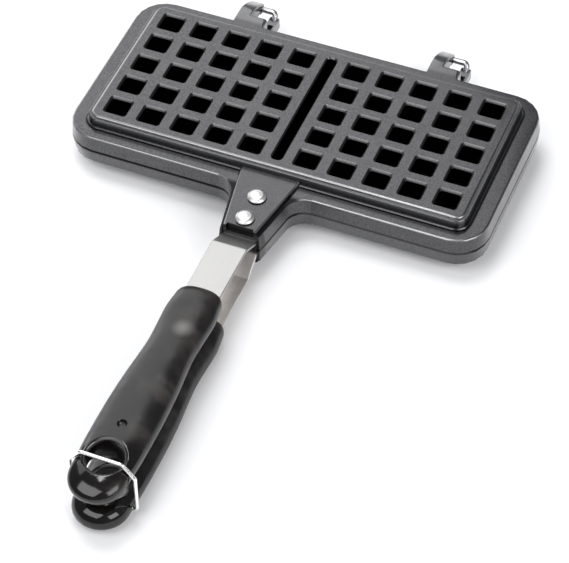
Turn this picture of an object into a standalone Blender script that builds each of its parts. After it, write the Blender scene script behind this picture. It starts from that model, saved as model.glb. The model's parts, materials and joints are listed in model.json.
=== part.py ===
# Stovetop waffle iron: two cast plates hinged at the back, strap handles with
# moulded grips, and a wire bail that holds the grips together.
# Lengths in metres, +Z up, +Y from the handles towards the hinges.
# Each half is drawn from the parting plane outwards, then laid up or down.

import math

import bmesh
import bpy
from mathutils import Vector

# Which way a half is laid from the parting plane
UP = 1
DOWN = -1

# Fits
PART_GAP = 0.0003
FIT = 0.0003
CUT_OVERRUN = 0.0020
FUSE_BITE = 0.0010
DRAFT_DEG = 8.0

# Cast plate: flange
FLANGE_HALF_X = 0.1200
FLANGE_HALF_Y = 0.0570
FLANGE_CORNER = 0.0175
FLANGE_TOP = 0.0095
FLANGE_FLARE = 0.0008
FLANGE_ROUND = 0.0012

# Cast plate: raised panel that holds the pits
PANEL_HALF_X = 0.1100
PANEL_HALF_Y = 0.0489
PANEL_CORNER = 0.0075
PANEL_TOP = 0.0162
PANEL_FLARE = 0.0005
PANEL_SHOULDER = 0.0015
PANEL_SHOULDER_ROUND = 0.0003
PANEL_ROUND = 0.0012
PANEL_STEP_OUT = 0.0010
PANEL_STEP_RISE = 0.0010

# Waffle grid
PITS_PER_SIDE = 5
PITCH_X = 0.0198
PITCH_Y = 0.01763
FIRST_PIT_X = 0.01606
PIT_MOUTH_X = 0.0141
PIT_MOUTH_Y = 0.0132
PIT_BEVEL = 0.0012
PIT_CORNER = 0.0012
PIT_FLOOR = 0.0054
STUD_ROOT_X = 0.0142
STUD_ROOT_Y = 0.0133
STUD_CORNER = 0.0022
STUD_TIP = 0.0030

# Cavity for the batter, behind the panel
CAVITY_HALF_X = 0.1065
CAVITY_HALF_Y = 0.0455
CAVITY_CORNER = 0.0060
CAVITY_FLOOR = 0.0134

# Slot down the middle of the panel and the ridge behind it
SLOT_HALF_X = 0.0036
SLOT_HALF_Y = 0.0418
SLOT_CORNER = 0.0027
SLOT_BEVEL = 0.0008
SLOT_FLOOR = 0.0034
SLOT_FLOOR_CORNER_SHARE = 0.9
RIDGE_ROOT_HALF_X = 0.0046
RIDGE_TIP = 0.0012
RIDGE_END_BITE = 0.0018

# Overflow gutter round the cavity and the low wall inside it
DAM_WIDTH = 0.0030
DAM_TOP = 0.0008
GUTTER_WIDTH = 0.0036
GUTTER_DEPTH = 0.0036
GUTTER_TAPER = 0.0004

# Neck that carries the handle
NECK_ROOT_HALF_X = 0.0153
NECK_FILLET = 0.0115
NECK_TIP_HALF_X = 0.0110
NECK_TIP_Y = -0.0912
NECK_ROUND = 0.0008

# Raised tab on the neck
TAB_ROOT_HALF_X = 0.0168
TAB_TIP_HALF_X = 0.0087
TAB_RISE = 0.0024
TAB_FLARE_DEG = 35.0
TAB_ROUND = 0.0005
TAB_MOUTH_BACK_Y = -0.0886
TAB_MOUTH_HALF_X = 0.0073
TAB_MOUTH_FLARE = 0.0014
TAB_LEDGE_TOP = 0.0074
TAB_LEDGE_FRONT_Y = -0.0902

# Handle strap
STRAP_HALF_X = 0.0097
STRAP_THICK = 0.0018
STRAP_ROOT_Y = -0.0598
STRAP_ROOT_TOP = 0.0051
STRAP_RAMP_Y = -0.0912
STRAP_RAMP_DEG = 30.5
STRAP_CREST_TOP = 0.0123
STRAP_BEND = 0.0022
STRAP_TANG_END_Y = -0.2360
STRAP_EDGE = 0.0003

# Rivets
RIVET_YS = (-0.0668, -0.0829)
RIVET_HEAD_RADIUS = 0.00525
RIVET_HEAD_RISE = 0.0023
RIVET_HEAD_RIM = 0.0004
RIVET_SHANK_RADIUS = 0.0025
RIVET_TAIL_RADIUS = 0.0040
RIVET_TAIL_RISE = 0.0014

# Grips
GRIP_FRONT_Y = -0.1366
GRIP_END_Y = -0.2774
GRIP_MID = 0.0110
GRIP_HALF_X = 0.0157
GRIP_HALF_THICK = 0.0078
GRIP_NOSE = 0.0090
GRIP_NOSE_RISE = 0.0120
GRIP_TAIL = 0.0156
GRIP_CROWN_FALL = 0.0260
GRIP_TAIL_FALL = 0.0100
GRIP_NOSE_POWER = 3.0
GRIP_NOSE_RISE_POWER = 2.5
GRIP_TAIL_POWER = 2.0
GRIP_SEAM_POWER = 2.3
GRIP_WIDTH_SHARES = (
    (0.000, 0.80), (0.060, 0.82), (0.096, 0.86), (0.132, 0.88),
    (0.168, 0.868), (0.240, 0.834), (0.297, 0.822), (0.383, 0.879),
    (0.455, 0.936), (0.541, 0.981), (0.613, 1.000), (0.770, 1.000),
    (0.840, 0.970), (0.880, 0.955), (1.000, 0.990),
)
GRIP_OUTER_SHARES = (
    (0.000, 1.00), (0.090, 1.00), (0.190, 0.90), (0.290, 0.94),
    (0.420, 1.00), (1.000, 1.00),
)

# Hanging hole and the small moulded socket beside it
HANG_HOLE_Y = -0.2543
HANG_HOLE_RADIUS = 0.0097
HANG_HOLE_ROUND = 0.0020
SOCKET_Y = -0.2340
SOCKET_RADIUS = 0.0022
SOCKET_DEPTH = 0.0020

# Locking bail
BAIL_WIRE_RADIUS = 0.0010
BAIL_PIVOT_Y = -0.2594
BAIL_HALF_X = 0.0175
BAIL_TOP_HALF_X = 0.0110
BAIL_CHAMFER_DROP = 0.0077
BAIL_LEAN = 0.0016
BAIL_BEND = 0.0022
BAIL_PIN_INNER_X = 0.0118

# Hinges: two like copies side by side, not a mirrored pair
HINGE_LEFT_XS = (-0.0672, 0.0491)
HINGE_NAMES = ("left", "right")
HINGE_REACH = 0.0226
LUG_WIDTH = 0.0081
LUG_EYE_RADIUS = 0.0034
LUG_LEAVE_DEG = 55.0
LUG_CREST_REACH = 0.0090
LUG_ROUND = 0.0010
SHELF_WIDTH = 0.0183
SHELF_REACH = 0.0075
SHELF_CORNER = 0.0020
SHELF_FILLET = 0.0022
SHELF_ROUND = 0.0016
PIN_RADIUS = 0.0017
PIN_BEND = 0.0022
PIN_END_INSET = 0.0008
PIN_ARM_FROM_LUG = 0.0084
PIN_ARM_LENGTH = 0.0095
PIN_ARM_DOWN_DEG = 50.0
BOSS_HALF_X = 0.0029
BOSS_TOP = -0.0026
BOSS_REACH = 0.0216
BOSS_CORNER = 0.0012
BOSS_POCKET_HALF_X = 0.0016
BOSS_POCKET_START = 0.0030
BOSS_POCKET_REACH = 0.0148
BOSS_POCKET_FLOOR = -0.0052

# Facets
CORNER_STEPS = 5
INNER_STEPS = 3
ROUND_STEPS = 3
SECTION_POINTS = 20
TURN_STEPS = 16
BEND_STEPS = 4
WIRE_SIDES = 10
NOSE_STATIONS = 6
NOSE_FIRST_SHARE = 0.4
BODY_STATIONS = 12
TAIL_STATIONS = 9
MERGE_DISTANCE = 0.000001
SHARP_DEG = 35.0

DRAFT = math.tan(math.radians(DRAFT_DEG))
STRAP_MID_TOP = STRAP_CREST_TOP - STRAP_THICK / 2
TAB_TOP = FLANGE_TOP + TAB_RISE
HINGE_Y = FLANGE_HALF_Y + HINGE_REACH
HINGE_BACK_Y = HINGE_Y + LUG_EYE_RADIUS
REST_HEIGHT = GRIP_MID + GRIP_HALF_THICK
SHIFT_Y = -(GRIP_END_Y + HINGE_BACK_Y) / 2


def clear_scene():
    for obj in list(bpy.data.objects):
        bpy.data.objects.remove(obj, do_unlink=True)


# Materials, one short function for each kind

def material(name, colour, roughness, metallic):
    mat = bpy.data.materials.get(name) or bpy.data.materials.new(name)
    mat.use_nodes = True
    shader = mat.node_tree.nodes["Principled BSDF"]
    shader.inputs["Base Color"].default_value = (*colour, 1.0)
    shader.inputs["Roughness"].default_value = roughness
    shader.inputs["Metallic"].default_value = metallic
    mat.diffuse_color = (*colour, 1.0)
    return mat


def coated_aluminium():
    return material("coated_cast_aluminium", (0.105, 0.105, 0.112), 0.42, 0.55)


def strap_steel():
    return material("stainless_strap_steel", (0.70, 0.70, 0.68), 0.34, 1.0)


def rivet_aluminium():
    return material("rivet_aluminium", (0.88, 0.88, 0.88), 0.22, 1.0)


def pin_steel():
    return material("hinge_pin_steel", (0.56, 0.56, 0.58), 0.30, 1.0)


def grip_phenolic():
    return material("grip_phenolic", (0.010, 0.010, 0.011), 0.16, 0.0)


def bail_wire():
    return material("bail_wire_steel", (0.86, 0.86, 0.86), 0.14, 1.0)


# Outlines

def rounded_rect(half_x, half_y, corner, height, steps=CORNER_STEPS):
    points = []
    for quadrant in range(4):
        turn = quadrant * math.pi / 2
        side_x = 1 if quadrant in (0, 3) else -1
        side_y = 1 if quadrant in (0, 1) else -1
        centre_x = side_x * (half_x - corner)
        centre_y = side_y * (half_y - corner)
        for step in range(steps + 1):
            angle = turn + step / steps * math.pi / 2
            x = centre_x + corner * math.cos(angle)
            y = centre_y + corner * math.sin(angle)
            points.append((x, y, height))
    return points


def round_over(half_x, half_y, corner, top, radius, steps=ROUND_STEPS):
    rings = []
    for step in range(steps + 1):
        angle = step / steps * math.pi / 2
        inset = radius * (1 - math.cos(angle))
        height = top - radius + radius * math.sin(angle)
        rings.append(rounded_rect(half_x - inset, half_y - inset, corner - inset, height))
    return rings


def shifted(points, x, y):
    return [(px + x, py + y, pz) for px, py, pz in points]


def smooth_share(table, position):
    # A curve through the table's points, level at its highs and lows
    for index in range(len(table) - 1):
        start, end = table[index], table[index + 1]
        if position <= end[0] or index == len(table) - 2:
            before = table[max(index - 1, 0)]
            after = table[min(index + 2, len(table) - 1)]
            span = end[0] - start[0]
            t = (position - start[0]) / span
            rise_in = (end[1] - before[1]) / (end[0] - before[0]) * span
            rise_out = (after[1] - start[1]) / (after[0] - start[0]) * span
            return (
                (2 * t ** 3 - 3 * t ** 2 + 1) * start[1]
                + (t ** 3 - 2 * t ** 2 + t) * rise_in
                + (3 * t ** 2 - 2 * t ** 3) * end[1]
                + (t ** 3 - t ** 2) * rise_out
            )
    return table[-1][1]


# Solids from outlines

def add_loft(bm, rings, side=UP, looped=False):
    loops = []
    for ring in rings:
        loops.append([bm.verts.new((x, y, z * side)) for x, y, z in ring])
    count = len(loops[0])
    pairs = list(zip(loops, loops[1:]))
    if looped:
        pairs.append((loops[-1], loops[0]))
    for lower, upper in pairs:
        for index in range(count):
            after = (index + 1) % count
            bm.faces.new((lower[index], lower[after], upper[after], upper[index]))
    if not looped:
        bm.faces.new(loops[0])
        bm.faces.new(loops[-1])


def finish_mesh(bm, name):
    bmesh.ops.remove_doubles(bm, verts=bm.verts, dist=MERGE_DISTANCE)
    bmesh.ops.recalc_face_normals(bm, faces=bm.faces)
    mesh = bpy.data.meshes.new(name)
    bm.to_mesh(mesh)
    bm.free()
    return mesh


def loft_mesh(name, rings, side=UP, looped=False):
    bm = bmesh.new()
    add_loft(bm, rings, side, looped)
    return finish_mesh(bm, name)


def prism_mesh(name, outline_yz, x_low, x_high, side=UP):
    rings = []
    for x in (x_low, x_high):
        rings.append([(x, y, z) for y, z in outline_yz])
    return loft_mesh(name, rings, side)


def turned_mesh(name, profile, centre_x, centre_y, side=UP):
    # Lathe a profile of (radius, height) that starts and ends on its axis
    bm = bmesh.new()
    rows = []
    for radius, height in profile:
        if radius == 0:
            rows.append([bm.verts.new((centre_x, centre_y, height * side))])
            continue
        row = []
        for step in range(TURN_STEPS):
            angle = step / TURN_STEPS * 2 * math.pi
            x = centre_x + radius * math.cos(angle)
            y = centre_y + radius * math.sin(angle)
            row.append(bm.verts.new((x, y, height * side)))
        rows.append(row)
    for row, following in zip(rows, rows[1:]):
        for step in range(TURN_STEPS):
            after = (step + 1) % TURN_STEPS
            if len(row) == 1:
                bm.faces.new((row[0], following[after], following[step]))
            elif len(following) == 1:
                bm.faces.new((row[step], row[after], following[0]))
            else:
                bm.faces.new((row[step], row[after], following[after], following[step]))
    return finish_mesh(bm, name)


def filleted_path(corners, radius, steps=BEND_STEPS):
    # Straight runs joined by arcs of one centre-line radius
    path = [Vector(corners[0])]
    for before, corner, after in zip(corners, corners[1:], corners[2:]):
        corner = Vector(corner)
        back = (Vector(before) - corner).normalized()
        ahead = (Vector(after) - corner).normalized()
        half = back.angle(ahead) / 2
        bisector = (back + ahead).normalized()
        centre = corner + bisector * (radius / math.sin(half))
        start = corner + back * (radius / math.tan(half)) - centre
        end = corner + ahead * (radius / math.tan(half)) - centre
        sweep = start.angle(end)
        for step in range(steps + 1):
            share = step / steps
            weight_start = math.sin((1 - share) * sweep) / math.sin(sweep)
            weight_end = math.sin(share * sweep) / math.sin(sweep)
            path.append(centre + start * weight_start + end * weight_end)
    path.append(Vector(corners[-1]))
    return path


def wire_mesh(name, path, radius, reference):
    # A round wire along a flat path; reference is the normal of its plane
    bm = bmesh.new()
    rings = []
    for index, point in enumerate(path):
        before = path[max(index - 1, 0)]
        after = path[min(index + 1, len(path) - 1)]
        incoming = (point - before).normalized() if index else (after - point).normalized()
        outgoing = (after - point).normalized() if after != point else incoming
        tangent = (incoming + outgoing).normalized()
        stretch = 1 / max(tangent.dot(incoming), math.cos(math.pi / 4))
        side = tangent.cross(reference).normalized()
        ring = []
        for step in range(WIRE_SIDES):
            angle = (step + 0.5) / WIRE_SIDES * 2 * math.pi
            offset = side * (radius * stretch * math.cos(angle))
            offset += reference * (radius * math.sin(angle))
            ring.append(tuple(point + offset))
        rings.append(ring)
    add_loft(bm, rings)
    return finish_mesh(bm, name)


# Objects, groups and Boolean steps

def add_empty(name, location, parent=None):
    empty = bpy.data.objects.new(name, None)
    bpy.context.collection.objects.link(empty)
    empty.location = location
    empty.parent = parent
    return empty


def smooth(mesh):
    mesh.shade_smooth()
    mesh.set_sharp_from_angle(angle=math.radians(SHARP_DEG))


def add_piece(name, mesh, group, mat):
    mesh.materials.append(mat)
    smooth(mesh)
    obj = bpy.data.objects.new(name, mesh)
    bpy.context.collection.objects.link(obj)
    obj.parent = group["empty"]
    obj.location = group["offset"]
    return obj


def add_guide(mesh, group):
    smooth(mesh)
    obj = bpy.data.objects.new("guide_" + mesh.name, mesh)
    bpy.context.collection.objects.link(obj)
    obj.parent = group["empty"]
    obj.location = group["offset"]
    obj.hide_render = True
    obj.display_type = "WIRE"
    return obj


def combine(target, mesh, group, operation):
    step = target.modifiers.new(mesh.name, "BOOLEAN")
    step.operation = operation
    step.solver = "EXACT"
    step.object = add_guide(mesh, group)


def fuse(target, mesh, group):
    combine(target, mesh, group, "UNION")


def cut(target, mesh, group):
    combine(target, mesh, group, "DIFFERENCE")


# Cast plates

def plate_shell(name, side):
    rings = [rounded_rect(
        FLANGE_HALF_X + FLANGE_FLARE, FLANGE_HALF_Y + FLANGE_FLARE,
        FLANGE_CORNER + FLANGE_FLARE, PART_GAP / 2)]
    rings += round_over(FLANGE_HALF_X, FLANGE_HALF_Y, FLANGE_CORNER, FLANGE_TOP, FLANGE_ROUND)
    step_top = FLANGE_TOP + PANEL_STEP_RISE
    out_x = PANEL_HALF_X + PANEL_STEP_OUT
    out_y = PANEL_HALF_Y + PANEL_STEP_OUT
    out_corner = PANEL_CORNER + PANEL_STEP_OUT
    half_out = PANEL_STEP_OUT / 2
    rings.append(rounded_rect(out_x, out_y, out_corner, FLANGE_TOP))
    rings.append(rounded_rect(out_x, out_y, out_corner, step_top - half_out))
    rings.append(rounded_rect(out_x - half_out, out_y - half_out, out_corner - half_out, step_top))
    rings.append(rounded_rect(PANEL_HALF_X, PANEL_HALF_Y, PANEL_CORNER, step_top))
    shoulder_top = PANEL_TOP - PANEL_ROUND
    rings += round_over(
        PANEL_HALF_X - PANEL_FLARE, PANEL_HALF_Y - PANEL_FLARE,
        PANEL_CORNER - PANEL_FLARE, shoulder_top, PANEL_SHOULDER_ROUND, 1)
    top_inset = PANEL_FLARE + PANEL_SHOULDER
    rings += round_over(
        PANEL_HALF_X - top_inset, PANEL_HALF_Y - top_inset,
        PANEL_CORNER - top_inset, PANEL_TOP, PANEL_ROUND)
    return loft_mesh(name, rings, side)


def pit_centres():
    centres = []
    for column in range(PITS_PER_SIDE):
        x = FIRST_PIT_X + column * PITCH_X
        for row in range(PITS_PER_SIDE):
            y = (row - (PITS_PER_SIDE - 1) / 2) * PITCH_Y
            centres.append((x, y))
            centres.append((-x, y))
    return centres


def tapered(half_x, half_y, corner, height_at, height, steps):
    # An outline that narrows with the draft as it nears the parting plane
    inset = (height_at - height) * DRAFT
    return rounded_rect(half_x - inset, half_y - inset, corner, height, steps)


def pits_mesh(name, side):
    bm = bmesh.new()
    half_x = PIT_MOUTH_X / 2
    half_y = PIT_MOUTH_Y / 2
    bevel_floor = PANEL_TOP - PIT_BEVEL
    for x, y in pit_centres():
        rings = [
            rounded_rect(half_x + CUT_OVERRUN, half_y + CUT_OVERRUN,
                         PIT_CORNER, PANEL_TOP + CUT_OVERRUN, 1),
            rounded_rect(half_x - PIT_BEVEL, half_y - PIT_BEVEL,
                         PIT_CORNER, bevel_floor, 1),
            tapered(half_x - PIT_BEVEL, half_y - PIT_BEVEL,
                    0, bevel_floor, PIT_FLOOR, 1),
        ]
        add_loft(bm, [shifted(ring, x, y) for ring in rings], side)
    return finish_mesh(bm, name)


def studs_mesh(name, side):
    bm = bmesh.new()
    for x, y in pit_centres():
        rings = []
        for corner, height in ((0, CAVITY_FLOOR + FUSE_BITE), (STUD_CORNER, STUD_TIP)):
            rings.append(tapered(STUD_ROOT_X / 2, STUD_ROOT_Y / 2,
                                 corner, CAVITY_FLOOR, height, 1))
        add_loft(bm, [shifted(ring, x, y) for ring in rings], side)
    return finish_mesh(bm, name)


def cavity_mesh(name, side):
    rings = []
    for height in (-CUT_OVERRUN, CAVITY_FLOOR):
        inset = height * DRAFT
        rings.append(rounded_rect(CAVITY_HALF_X - inset, CAVITY_HALF_Y - inset,
                                  CAVITY_CORNER, height, INNER_STEPS))
    return loft_mesh(name, rings, side)


def ridge_mesh(name, side):
    rings = []
    half_y = CAVITY_HALF_Y + RIDGE_END_BITE
    for height in (CAVITY_FLOOR + FUSE_BITE, RIDGE_TIP):
        half_x = RIDGE_ROOT_HALF_X - (CAVITY_FLOOR - height) * DRAFT
        rings.append([(half_x, half_y, height), (-half_x, half_y, height),
                      (-half_x, -half_y, height), (half_x, -half_y, height)])
    return loft_mesh(name, rings, side)


def slot_mesh(name, side):
    over = CUT_OVERRUN
    bevel = SLOT_BEVEL
    narrow = SLOT_HALF_X - bevel
    depth_inset = (PANEL_TOP - bevel - SLOT_FLOOR) * DRAFT
    floor_half = max(narrow - depth_inset, narrow / 2)
    rings = [
        rounded_rect(SLOT_HALF_X + over, SLOT_HALF_Y + over, SLOT_CORNER + over,
                     PANEL_TOP + over, ROUND_STEPS),
        rounded_rect(narrow, SLOT_HALF_Y - bevel, SLOT_CORNER - bevel,
                     PANEL_TOP - bevel, ROUND_STEPS),
        rounded_rect(floor_half, SLOT_HALF_Y - bevel - depth_inset,
                     floor_half * SLOT_FLOOR_CORNER_SHARE, SLOT_FLOOR, ROUND_STEPS),
    ]
    return loft_mesh(name, rings, side)


def gutter_mesh(name, side):
    rings = []
    for offset, height in (
        (DAM_WIDTH, -CUT_OVERRUN),
        (DAM_WIDTH + GUTTER_TAPER, GUTTER_DEPTH),
        (DAM_WIDTH + GUTTER_WIDTH - GUTTER_TAPER, GUTTER_DEPTH),
        (DAM_WIDTH + GUTTER_WIDTH, -CUT_OVERRUN),
    ):
        rings.append(rounded_rect(CAVITY_HALF_X + offset, CAVITY_HALF_Y + offset,
                                  CAVITY_CORNER + offset, height, INNER_STEPS))
    return loft_mesh(name, rings, side, looped=True)


def dam_relief_mesh(name, side):
    reach = DAM_WIDTH + GUTTER_WIDTH / 2
    rings = []
    for height in (-CUT_OVERRUN, DAM_TOP):
        rings.append(rounded_rect(CAVITY_HALF_X + reach, CAVITY_HALF_Y + reach,
                                  CAVITY_CORNER + reach, height, INNER_STEPS))
    return loft_mesh(name, rings, side)


def neck_outline(inset, height):
    # One side from inside the flange, round the fillet and down to the tip
    root_y = -FLANGE_HALF_Y
    radius = NECK_FILLET + inset
    centre_x = NECK_ROOT_HALF_X + NECK_FILLET
    centre_y = root_y - NECK_FILLET
    side = [(centre_x, root_y + FLANGE_ROUND + FUSE_BITE, height)]
    for step in range(CORNER_STEPS + 1):
        angle = math.pi / 2 + step / CORNER_STEPS * math.pi / 2
        x = centre_x + radius * math.cos(angle)
        y = centre_y + radius * math.sin(angle)
        side.append((x, y, height))
    side.append((NECK_TIP_HALF_X - inset, NECK_TIP_Y + inset, height))
    other = [(-x, y, z) for x, y, z in reversed(side)]
    return side + other


def neck_mesh(name, side):
    rings = [neck_outline(-FLANGE_FLARE, PART_GAP / 2)]
    for step in range(ROUND_STEPS):
        angle = step / (ROUND_STEPS - 1) * math.pi / 2
        inset = NECK_ROUND * (1 - math.cos(angle))
        height = FLANGE_TOP - NECK_ROUND + NECK_ROUND * math.sin(angle)
        rings.append(neck_outline(inset, height))
    return loft_mesh(name, rings, side)


def tab_outline(inset, height):
    back_y = -CAVITY_HALF_Y - FUSE_BITE
    root = TAB_ROOT_HALF_X - inset
    tip = TAB_TIP_HALF_X - inset
    return [(root, back_y, height), (-root, back_y, height),
            (-tip, NECK_TIP_Y, height), (tip, NECK_TIP_Y, height)]


def tab_mesh(name, side):
    flare = math.tan(math.radians(TAB_FLARE_DEG))
    rings = [tab_outline(-TAB_RISE * flare, FLANGE_TOP - FUSE_BITE)]
    for step in range(ROUND_STEPS):
        share = step / (ROUND_STEPS - 1)
        height = TAB_TOP - TAB_ROUND * (1 - share)
        rings.append(tab_outline(TAB_ROUND * share ** 2 - (TAB_TOP - height) * flare, height))
    return loft_mesh(name, rings, side)


def mouth_cutter(name, side):
    # Recess in the tab's front wall, wider towards the grip
    front = NECK_TIP_Y - CUT_OVERRUN
    wide = TAB_MOUTH_HALF_X + TAB_MOUTH_FLARE
    rings = []
    for height in (TAB_LEDGE_TOP, TAB_TOP + CUT_OVERRUN):
        rings.append([(TAB_MOUTH_HALF_X, TAB_MOUTH_BACK_Y, height),
                      (-TAB_MOUTH_HALF_X, TAB_MOUTH_BACK_Y, height),
                      (-wide, front, height), (wide, front, height)])
    return loft_mesh(name, rings, side)


def channel_cutter(name, side):
    # Bed for the strap, open to the parting plane and past the ledge
    back = STRAP_ROOT_Y + FIT
    front = NECK_TIP_Y - CUT_OVERRUN
    ceiling = STRAP_ROOT_TOP + FIT
    outline = [
        (back, -CUT_OVERRUN), (back, ceiling), (TAB_LEDGE_FRONT_Y, ceiling),
        (TAB_LEDGE_FRONT_Y, TAB_TOP + CUT_OVERRUN), (front, TAB_TOP + CUT_OVERRUN),
        (front, -CUT_OVERRUN),
    ]
    reach = STRAP_HALF_X + FIT
    return prism_mesh(name, outline, -reach, reach, side)


def rivet_holes_mesh(name, side, low, high):
    bm = bmesh.new()
    radius = RIVET_SHANK_RADIUS + FIT
    for y in RIVET_YS:
        rings = []
        for height in (low, high):
            ring = []
            for step in range(TURN_STEPS):
                angle = step / TURN_STEPS * 2 * math.pi
                ring.append((radius * math.cos(angle), y + radius * math.sin(angle), height))
            rings.append(ring)
        add_loft(bm, rings, side)
    return finish_mesh(bm, name)


# Hinges

def lug_section(x, inset):
    # Flat under, an eye round the hinge axis, and a back that rises to the flange top
    eye = LUG_EYE_RADIUS - inset
    low = PART_GAP / 2
    top = FLANGE_TOP - inset
    web_y = FLANGE_HALF_Y - FLANGE_ROUND - FUSE_BITE
    start = math.pi - math.asin(low / eye)
    leave = math.radians(360 + LUG_LEAVE_DEG)
    points = [(x, web_y, low)]
    steps = 2 * CORNER_STEPS
    for step in range(steps + 1):
        angle = start + step / steps * (leave - start)
        points.append((x, HINGE_Y + eye * math.cos(angle), eye * math.sin(angle)))
    last_y, last_z = points[-1][1:]
    bend_y = last_y - (top - last_z) * math.tan(leave)
    crest_y = FLANGE_HALF_Y + LUG_CREST_REACH
    for step in range(1, CORNER_STEPS + 1):
        t = step / CORNER_STEPS
        y = (1 - t) ** 2 * last_y + 2 * t * (1 - t) * bend_y + t ** 2 * crest_y
        z = (1 - t) ** 2 * last_z + (1 - (1 - t) ** 2) * top
        points.append((x, y, z))
    points.append((x, web_y, top))
    return points


def lug_mesh(name, left_x):
    right_x = left_x + LUG_WIDTH
    insets = []
    for step in range(ROUND_STEPS):
        angle = step / (ROUND_STEPS - 1) * math.pi / 2
        insets.append((LUG_ROUND * (1 - math.sin(angle)), LUG_ROUND * (1 - math.cos(angle))))
    rings = [lug_section(left_x + run, inset) for inset, run in insets]
    rings += [lug_section(right_x - run, inset) for inset, run in reversed(insets)]
    return loft_mesh(name, rings)


def corner_points(centre_x, centre_y, radius, quarter, way):
    points = []
    for step in range(ROUND_STEPS + 1):
        angle = (quarter + way * step / ROUND_STEPS) * math.pi / 2
        points.append((centre_x + radius * math.cos(angle),
                       centre_y + radius * math.sin(angle)))
    return points


def shelf_outline(left_x, inset, height):
    # Runs from inside the lug to a rounded end that fillets into the flange
    web_y = FLANGE_HALF_Y - FLANGE_ROUND - FUSE_BITE
    start_x = left_x + LUG_WIDTH / 2
    end_x = left_x + SHELF_WIDTH - inset
    back_y = FLANGE_HALF_Y + SHELF_REACH - inset
    hollow = SHELF_FILLET + inset
    fillet_x = left_x + SHELF_WIDTH + SHELF_FILLET
    fillet_y = FLANGE_HALF_Y + SHELF_FILLET
    points = [(start_x, web_y), (fillet_x, web_y)]
    points += corner_points(fillet_x, fillet_y, hollow, 3, -1)
    points += corner_points(end_x - SHELF_CORNER, back_y - SHELF_CORNER, SHELF_CORNER, 0, 1)
    points.append((start_x, back_y))
    return [(x, y, height) for x, y in points]


def shelf_mesh(name, left_x):
    rings = [shelf_outline(left_x, 0, PART_GAP / 2)]
    for step in range(ROUND_STEPS + 1):
        angle = step / ROUND_STEPS * math.pi / 2
        inset = SHELF_ROUND * (1 - math.cos(angle))
        height = FLANGE_TOP - SHELF_ROUND + SHELF_ROUND * math.sin(angle)
        rings.append(shelf_outline(left_x, inset, height))
    return loft_mesh(name, rings)


def pin_arm_x(left_x):
    return left_x + LUG_WIDTH + PIN_ARM_FROM_LUG


def pin_arm_way():
    down = math.radians(PIN_ARM_DOWN_DEG)
    return Vector((0, -math.cos(down), -math.sin(down)))


def pin_arm_end(left_x, extra):
    corner = Vector((pin_arm_x(left_x), HINGE_Y, 0))
    return corner + pin_arm_way() * (PIN_ARM_LENGTH + extra)


def pin_mesh(name, left_x):
    corners = [(left_x + PIN_END_INSET, HINGE_Y, 0),
               (pin_arm_x(left_x), HINGE_Y, 0),
               tuple(pin_arm_end(left_x, 0))]
    path = filleted_path(corners, PIN_BEND)
    normal = Vector((1, 0, 0)).cross(pin_arm_way()).normalized()
    return wire_mesh(name, path, PIN_RADIUS, normal)


def lug_bore_mesh(name, left_x):
    path = [Vector((left_x - CUT_OVERRUN, HINGE_Y, 0)),
            Vector((left_x + LUG_WIDTH + CUT_OVERRUN, HINGE_Y, 0))]
    return wire_mesh(name, path, PIN_RADIUS + FIT, Vector((0, 0, 1)))


def boss_outline(left_x, height):
    # Foot of the lower plate that holds the turned-down end of the pin
    low_x = pin_arm_x(left_x) - BOSS_HALF_X
    high_x = pin_arm_x(left_x) + BOSS_HALF_X
    back_y = FLANGE_HALF_Y + BOSS_REACH
    web_y = FLANGE_HALF_Y - FUSE_BITE
    corner = BOSS_CORNER
    points = [(low_x, web_y), (high_x, web_y)]
    points += corner_points(high_x - corner, back_y - corner, corner, 0, 1)
    points += corner_points(low_x + corner, back_y - corner, corner, 1, 1)
    return [(x, y, height) for x, y in points]


def boss_mesh(name, left_x):
    bottom = FLANGE_ROUND - FLANGE_TOP
    return loft_mesh(name, [boss_outline(left_x, bottom), boss_outline(left_x, BOSS_TOP)])


def boss_pocket_mesh(name, left_x):
    # Cored out between the flange and the pin, open at the top
    low_x = pin_arm_x(left_x) - BOSS_POCKET_HALF_X
    high_x = pin_arm_x(left_x) + BOSS_POCKET_HALF_X
    front_y = FLANGE_HALF_Y + BOSS_POCKET_START
    back_y = FLANGE_HALF_Y + BOSS_POCKET_REACH
    rings = []
    for height in (BOSS_POCKET_FLOOR, BOSS_TOP + CUT_OVERRUN):
        rings.append([(high_x, front_y, height), (high_x, back_y, height),
                      (low_x, back_y, height), (low_x, front_y, height)])
    return loft_mesh(name, rings)


def boss_hole_mesh(name, left_x):
    start = Vector((pin_arm_x(left_x), HINGE_Y, 0))
    path = [start, pin_arm_end(left_x, FIT)]
    return wire_mesh(name, path, PIN_RADIUS + FIT, Vector((1, 0, 0)))


def make_plate(name, side, group):
    plate = add_piece(name, plate_shell(name, side), group, coated_aluminium())
    fuse(plate, neck_mesh(name + "_neck", side), group)
    fuse(plate, tab_mesh(name + "_tab", side), group)
    cut(plate, mouth_cutter(name + "_mouth", side), group)
    cut(plate, channel_cutter(name + "_channel", side), group)
    cut(plate, rivet_holes_mesh(name + "_rivet_holes", side, STRAP_ROOT_TOP,
                                TAB_TOP + CUT_OVERRUN), group)
    cut(plate, gutter_mesh(name + "_gutter", side), group)
    cut(plate, dam_relief_mesh(name + "_dam_relief", side), group)
    cut(plate, cavity_mesh(name + "_cavity", side), group)
    fuse(plate, studs_mesh(name + "_studs", side), group)
    fuse(plate, ridge_mesh(name + "_ridge", side), group)
    cut(plate, pits_mesh(name + "_pits", side), group)
    cut(plate, slot_mesh(name + "_slot", side), group)
    return plate


def add_hinge_lugs(plate, group):
    for hinge, left_x in zip(HINGE_NAMES, HINGE_LEFT_XS):
        fuse(plate, shelf_mesh(hinge + "_shelf", left_x), group)
        fuse(plate, lug_mesh(hinge + "_lug", left_x), group)
        cut(plate, lug_bore_mesh(hinge + "_lug_bore", left_x), group)


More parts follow.
